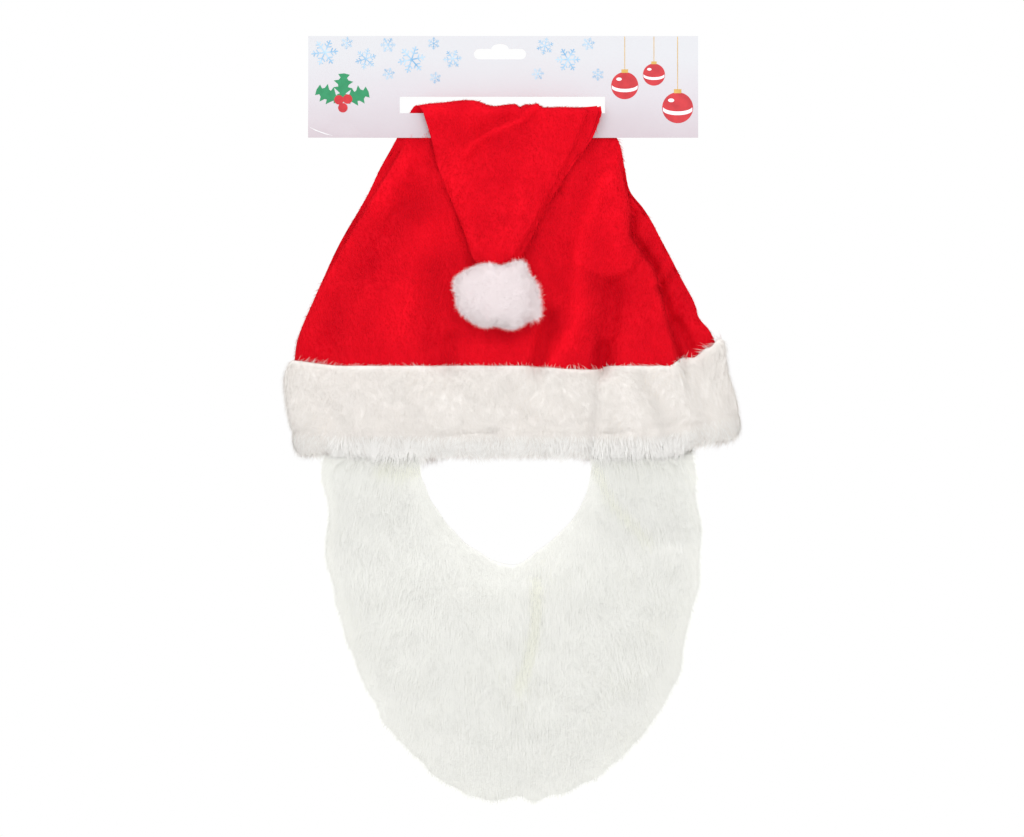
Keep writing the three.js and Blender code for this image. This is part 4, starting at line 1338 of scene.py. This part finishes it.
radius = HOLE_HEIGHT / 2
straight = HOLE_WIDTH / 2 - radius
card_line = box_outline(CARD_LEFT, CARD_RIGHT, CARD_BOTTOM, CARD_TOP, CARD_STEP)
slot_line = box_outline(SLOT_LEFT, SLOT_RIGHT, SLOT_BOTTOM, SLOT_TOP, CARD_STEP)
hole_line = arc(straight, 0, radius, radius, -90, 90, END_STEPS)
hole_line += arc(0, radius, HUMP_WIDTH / 2, HUMP_RISE, 0, 180, HUMP_STEPS)
hole_line += arc(-straight, 0, radius, radius, 90, 270, END_STEPS)
print("card outline:", len(card_line), "slot:", len(slot_line), "hole:", len(hole_line))

# %% Bow of the card
CREASE_LINE = [(-0.1215, -0.0465), (-0.0985, -0.0530)]
CORNER_BEND, CORNER_REACH = 0.0009, 0.010
WAVE_RISE, WAVE_SIZE, WAVE_START = 0.0007, 0.03, 0.8
WAVE_FROM, WAVE_FULL = 0.075, 0.115


def card_bow(x, z):
    """How far the board bends forwards or back at each place: one bent corner and a slight wave."""
    corner = near_line(np.asarray(x), np.asarray(z), CREASE_LINE)
    bent = CORNER_BEND * smooth_step(0.0, CORNER_REACH, corner)
    free = smooth_step(WAVE_FROM, WAVE_FULL, np.abs(x))
    return bent + WAVE_RISE * free * np.sin(np.asarray(z) / WAVE_SIZE + WAVE_START)


print("the bent corner stands off by", card_bow(CARD_LEFT, CARD_BOTTOM).round(4), "m")

# %% Filling an outline
RIM_GAP = 0.4


def inside(x, z, line):
    """True for each place that lies inside an outline."""
    hit = np.zeros(np.shape(x), bool)
    for (x1, z1), (x2, z2) in zip(line, line[1:] + line[:1]):
        if z1 != z2:
            cross = (z1 > z) != (z2 > z)
            hit ^= cross & (x < (x2 - x1) * (z - z1) / (z2 - z1) + x1)
    return hit


def filled_sheet(outline, holes, step):
    """Points and triangles that fill an outline round its holes."""
    grid_x, grid_z = np.meshgrid(
        np.arange(CARD_LEFT + step / 2, CARD_RIGHT, step),
        np.arange(CARD_BOTTOM + step / 2, CARD_TOP, step))
    grid = np.column_stack([grid_x.ravel(), grid_z.ravel()])
    clear = inside(grid[:, 0], grid[:, 1], outline)
    for hole in holes:
        clear &= ~inside(grid[:, 0], grid[:, 1], hole)
        edge_points = np.array(hole)
        gap = np.linalg.norm(grid[:, None] - edge_points[None], axis=2).min(1)
        clear &= gap > step * RIM_GAP
    points = []
    edges = []
    for line in (outline, *holes):
        first = len(points)
        points += [Vector(point) for point in line]
        edges += [(first + i, first + (i + 1) % len(line)) for i in range(len(line))]
    points += [Vector(point) for point in grid[clear]]
    made, _, faces, *_ = delaunay_2d_cdt(points, edges, [], 1, 1e-7)
    made = np.array([tuple(point) for point in made])
    middles = np.array([made[list(face)].mean(0) for face in faces])
    keep = np.ones(len(faces), bool)
    for hole in holes:
        keep &= ~inside(middles[:, 0], middles[:, 1], hole)
    return made, [list(face) for face, kept in zip(faces, keep) if kept]


flat_points, flat_faces = filled_sheet(card_line, [slot_line, hole_line], CARD_STEP)
print("card face:", len(flat_faces), "triangles")

# %% Card board
bow = card_bow(flat_points[:, 0], flat_points[:, 1])
front = np.column_stack([flat_points[:, 0], bow - CARD_THICK / 2, flat_points[:, 1]])
behind = front + np.array([0, CARD_THICK, 0])
card_faces = flat_faces + [[corner + len(front) for corner in reversed(face)] for face in flat_faces]
steps = dict.fromkeys((a, b) for face in flat_faces for a, b in zip(face, face[1:] + face[:1]))
rim = [(a, b) for a, b in steps if (b, a) not in steps]
card_faces += [[b, a, a + len(front), b + len(front)] for a, b in rim]
card = make_mesh("card_board", np.concatenate([front, behind]), card_faces, smooth=False)
print("card:", triangles(card), "triangles")

# %% [markdown]
# The print is plain winter decoration: pale snowflakes along the top, a sprig of holly and some
# hanging balls. Ink has no thickness to speak of, but drawing each shape as a very thin plate keeps
# its edge sharp from near by, and no picture file is needed.

# %% Card material
CARD_TONES = [(0.0, (0.575, 0.505, 0.545)), (0.42, (0.640, 0.610, 0.650)), (0.8, (0.655, 0.660, 0.690))]
MOTTLE = 0.02


def card_material(name, tones, bottom, top):
    """Coated board whose tone changes from its bottom to its top, with a soft gloss and a little mottle."""
    material, tree, shader = start_material(name, roughness=0.38, gloss=0.3)
    place = add_node(tree, "ShaderNodeTexCoord").outputs["Object"]
    axes = add_node(tree, "ShaderNodeSeparateXYZ", {"Vector": place})
    mottle = add_node(tree, "ShaderNodeTexNoise", {"Vector": place, "Scale": 30, "Detail": 3})
    mixed = add_node(
        tree, "ShaderNodeMath", {0: mottle.outputs["Fac"], 1: MOTTLE, 2: axes.outputs["Z"]},
        operation="MULTIPLY_ADD")
    height = add_node(tree, "ShaderNodeMapRange", {
        "Value": mixed.outputs[0], "From Min": bottom, "From Max": top})
    tone = blend_tones(tree, height.outputs["Result"], tones)
    fibre = add_node(tree, "ShaderNodeTexNoise", {"Vector": place, "Scale": 900, "Detail": 2})
    bump = add_node(tree, "ShaderNodeBump", {
        "Height": fibre.outputs["Fac"], "Strength": 0.15, "Distance": 0.0001})
    tree.links.new(tone, shader.inputs["Base Color"])
    tree.links.new(bump.outputs["Normal"], shader.inputs["Normal"])
    return material


card.data.materials.append(
    card_material("coated_board", CARD_TONES, CARD_BOTTOM + MOTTLE / 2, CARD_TOP + MOTTLE / 2))
print("card:", card.data.materials[0].name)

# %% Print plates
INK_THICK = 0.00006
OVERPRINT = 0.15


def ink_plates(name, outlines, material):
    """Flat shapes with a very small thickness, on the front of the card, joined into one mesh."""
    work = bmesh.new()
    for layer, outline in outlines:
        lift = INK_THICK * (layer + 1)
        front = []
        back = []
        for x, z in outline:
            face_y = float(card_bow(x, z)) - CARD_THICK / 2
            front.append(work.verts.new((x, face_y - lift, z)))
            back.append(work.verts.new((x, face_y, z)))
        work.faces.new(front)
        work.faces.new(back)
        for i in range(len(outline)):
            work.faces.new((front[i - 1], front[i], back[i], back[i - 1]))
    bmesh.ops.recalc_face_normals(work, faces=work.faces)
    bmesh.ops.triangulate(work, faces=work.faces)
    mesh = bpy.data.meshes.new(name)
    work.to_mesh(mesh)
    work.free()
    made = add_object(name, mesh)
    made.data.materials.append(material)
    print(name, triangles(made), "triangles")
    return made


def turned(points, middle, angle, scale=1.0):
    """Points turned about the origin, scaled and moved to the middle."""
    c, s = math.cos(angle) * scale, math.sin(angle) * scale
    return [(middle[0] + c * x - s * z, middle[1] + s * x + c * z) for x, z in points]


print("plate helpers ready")

# %% Inks
def ink_material(name, colour, darker):
    """Printed ink under a clear coat, with a slight unevenness."""
    material, tree, shader = start_material(name, roughness=0.35, gloss=0.3)
    place = add_node(tree, "ShaderNodeTexCoord").outputs["Object"]
    screen = add_node(tree, "ShaderNodeTexNoise", {"Vector": place, "Scale": 160, "Detail": 3})
    tone = blend_tones(tree, screen.outputs["Fac"], [(0.35, darker), (0.65, colour)])
    tree.links.new(tone, shader.inputs["Base Color"])
    return material


PALE_BLUE = ink_material("pale_blue_ink", (0.50, 0.68, 0.82), (0.20, 0.42, 0.66))
GREEN = ink_material("green_ink", (0.03, 0.30, 0.13), (0.02, 0.24, 0.10))
RED = ink_material("red_ink", (0.62, 0.03, 0.04), (0.50, 0.02, 0.03))
GOLD = ink_material("gold_ink", (0.72, 0.46, 0.12), (0.60, 0.36, 0.08))
WHITE_INK = ink_material("white_ink", (0.90, 0.90, 0.92), (0.84, 0.85, 0.90))
BARE_BOARD = ink_material("bare_board", (0.84, 0.84, 0.85), (0.78, 0.78, 0.80))
print("inks:", ", ".join(ink.name for ink in (PALE_BLUE, GREEN, RED, GOLD, WHITE_INK, BARE_BOARD)))

# %% Snowflakes
Flake = namedtuple("Flake", "x z size turn")
FLAKES = [
    Flake(-0.1110, 0.0010, 0.0085, 0.1), Flake(-0.0970, 0.0070, 0.0040, 0.4),
    Flake(-0.0850, -0.0030, 0.0068, 0.3), Flake(-0.0710, 0.0058, 0.0050, 0.0),
    Flake(-0.0560, -0.0035, 0.0088, 0.2), Flake(-0.0420, 0.0068, 0.0040, 0.5),
    Flake(-0.0300, -0.0030, 0.0060, 0.1), Flake(0.0285, 0.0050, 0.0055, 0.3),
    Flake(0.0430, -0.0035, 0.0078, 0.0), Flake(0.0560, 0.0065, 0.0042, 0.2),
    Flake(-0.0410, -0.0150, 0.0038, 0.4), Flake(0.0240, -0.0125, 0.0040, 0.1),
    Flake(-0.0705, -0.0125, 0.0040, 0.2), Flake(0.0620, -0.0130, 0.0040, 0.5),
]
FLAKE_ARMS = 6
ARM_WIDTH = 0.09
TWIGS = ((0.45, 0.32), (0.72, 0.24))
TWIG_WIDTH = 0.8


def flake_outlines(flake):
    """Six arms, each with two pairs of twigs. Shapes that cross lie in layers of their own."""
    bar = [(0, -ARM_WIDTH / 2), (1, -ARM_WIDTH / 2), (1, ARM_WIDTH / 2), (0, ARM_WIDTH / 2)]
    shapes = []
    for arm in range(FLAKE_ARMS):
        angle = flake.turn + arm * math.pi / 3
        shapes.append((OVERPRINT * arm, turned(bar, (flake.x, flake.z), angle, flake.size)))
        for start, length in TWIGS:
            root = turned([(start, 0)], (flake.x, flake.z), angle, flake.size)[0]
            twig = [(x * length, z * TWIG_WIDTH) for x, z in bar]
            for layer, side in ((FLAKE_ARMS, -1), (FLAKE_ARMS + 1, 1)):
                twig_angle = angle + side * math.pi / 3
                shapes.append((OVERPRINT * layer, turned(twig, root, twig_angle, flake.size)))
    return shapes


flake_shapes = [shape for flake in FLAKES for shape in flake_outlines(flake)]
print_pale_blue = ink_plates("print_snowflakes", flake_shapes, PALE_BLUE)

# %% Holly
HOLLY_ROOT = (-0.1000, -0.0300)
HOLLY_TURNS = (0.35, 1.5, 2.7)
HOLLY_LENGTH = 0.019
LEAF_STALK, LEAF_BLADE = 0.04, 0.9
LEAF_WIDTH, LEAF_LEAST_WIDTH = 0.30, 0.04
LOBE_SHOULDER, LOBE_NOTCH, LOBE_LEAN = 0.55, 0.5, 0.04
BERRIES = ((-0.002, 0.001), (0.0035, 0.0015), (0.0005, -0.004))
BERRY_SIZE = 0.0030


def holly_leaf(lobes=4):
    """A leaf one unit long with a few pointed lobes on each side."""
    side = []
    for lobe in range(lobes):
        start = LEAF_STALK + lobe * LEAF_BLADE / lobes
        end = LEAF_STALK + (lobe + 1) * LEAF_BLADE / lobes
        width = LEAF_WIDTH * math.sin(math.pi * (start + end) / 2) + LEAF_LEAST_WIDTH
        side.append(((start * 2 + end) / 3, width * LOBE_SHOULDER))
        side.append(((start + end * 2) / 3 + LOBE_LEAN, width))
        side.append((end, LOBE_NOTCH * width * (lobe < lobes - 1)))
    return [(0, 0)] + side + [(x, -z) for x, z in reversed(side[:-1])]


leaf_shapes = []
for step, angle in enumerate(HOLLY_TURNS):
    leaf_shapes.append((OVERPRINT * step, turned(holly_leaf(), HOLLY_ROOT, angle, HOLLY_LENGTH)))
print_green = ink_plates("print_leaves", leaf_shapes, GREEN)
berry = arc(0, 0, 1, 1, 0, 348, 29)
berry_shapes = []
for step, (x, z) in enumerate(BERRIES):
    middle = (HOLLY_ROOT[0] + x, HOLLY_ROOT[1] + z)
    berry_shapes.append((1 + OVERPRINT * step, turned(berry, middle, 0, BERRY_SIZE)))

# %% Hanging balls
BALLS = [(0.0790, -0.0200, 0.0086), (0.0975, -0.0130, 0.0070), (0.1125, -0.0340, 0.0098)]
CAP_HALF, CAP_BOTTOM, CAP_TOP = 0.24, 0.94, 1.20
STRING_HALF, STRING_GAP = 0.0002, 0.0004
BALL = arc(0, 0, 1, 1, 0, 353, 52)
CAP = box_outline(-CAP_HALF, CAP_HALF, CAP_BOTTOM, CAP_TOP, step=1)
STRIPE = arc(0, 0.10, 0.96, 0.34, 190, 350, 24) + arc(0, -0.14, 0.96, 0.34, 350, 190, 24)
GLINT = arc(-0.42, 0.48, 0.20, 0.12, 0, 345, 23)

ball_shapes = []
cap_shapes = []
stripe_shapes = []
for x, z, size in BALLS:
    string = (x - STRING_HALF, x + STRING_HALF, z + CAP_TOP * size, CARD_TOP - STRING_GAP)
    ball_shapes.append((0, turned(BALL, (x, z), 0, size)))
    cap_shapes.append((1, turned(CAP, (x, z), 0, size)))
    cap_shapes.append((0, box_outline(*string, step=1)))
    stripe_shapes += [(1, turned(shape, (x, z), 0, size)) for shape in (STRIPE, GLINT)]
print_red = ink_plates("print_balls", ball_shapes + berry_shapes, RED)
print_gold = ink_plates("print_caps", cap_shapes, GOLD)
print_white = ink_plates("print_stripes", stripe_shapes, WHITE_INK)

# %% Worn crease
WORN_CREASE = [(-0.1212, -0.0460), (-0.1165, -0.0484), (-0.1110, -0.0504), (-0.1050, -0.0520)]
CREASE_WIDTH = 0.0006


def crease_outline(line):
    """A thin sliver along a line, pointed at both ends."""
    line = np.array(line)
    side = right_of(line) * CREASE_WIDTH / 2
    return np.concatenate([line[:1], (line + side)[1:-1], line[-1:], (line - side)[-2:0:-1]]).tolist()


card_wear = ink_plates("card_crease", [(0, crease_outline(WORN_CREASE))], BARE_BOARD)

# %% [markdown]
# ## Which piece is which
# Every piece rides on the part's one body, and each group stands in for a node of the imported model,
# which is hidden. The crown and the beard are sheets of cloth, and the cuff and the pompom are padded.

# %% Naming the pieces
PRINTS = [print_pale_blue, print_green, print_red, print_gold, print_white, card_wear]
PIECES = {
    "crown": ([crown, red_pile], "red_plush"),
    "fur_band": ([band, band_fur, band_fringe], "white_plush"),
    "beard": ([beard, *beard_hair], "beard_fur"),
    "pompom": ([pompom, pompom_fur], "pompom_fur"),
    "header_card": ([card, *PRINTS], "coated_card"),
}
for node, (pieces, slot) in PIECES.items():
    for piece in pieces:
        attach(piece, "root")
    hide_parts(node)

print("triangles in all:", sum(triangles(piece) for pieces, _ in PIECES.values() for piece in pieces))

# %% End
print("all pieces built")
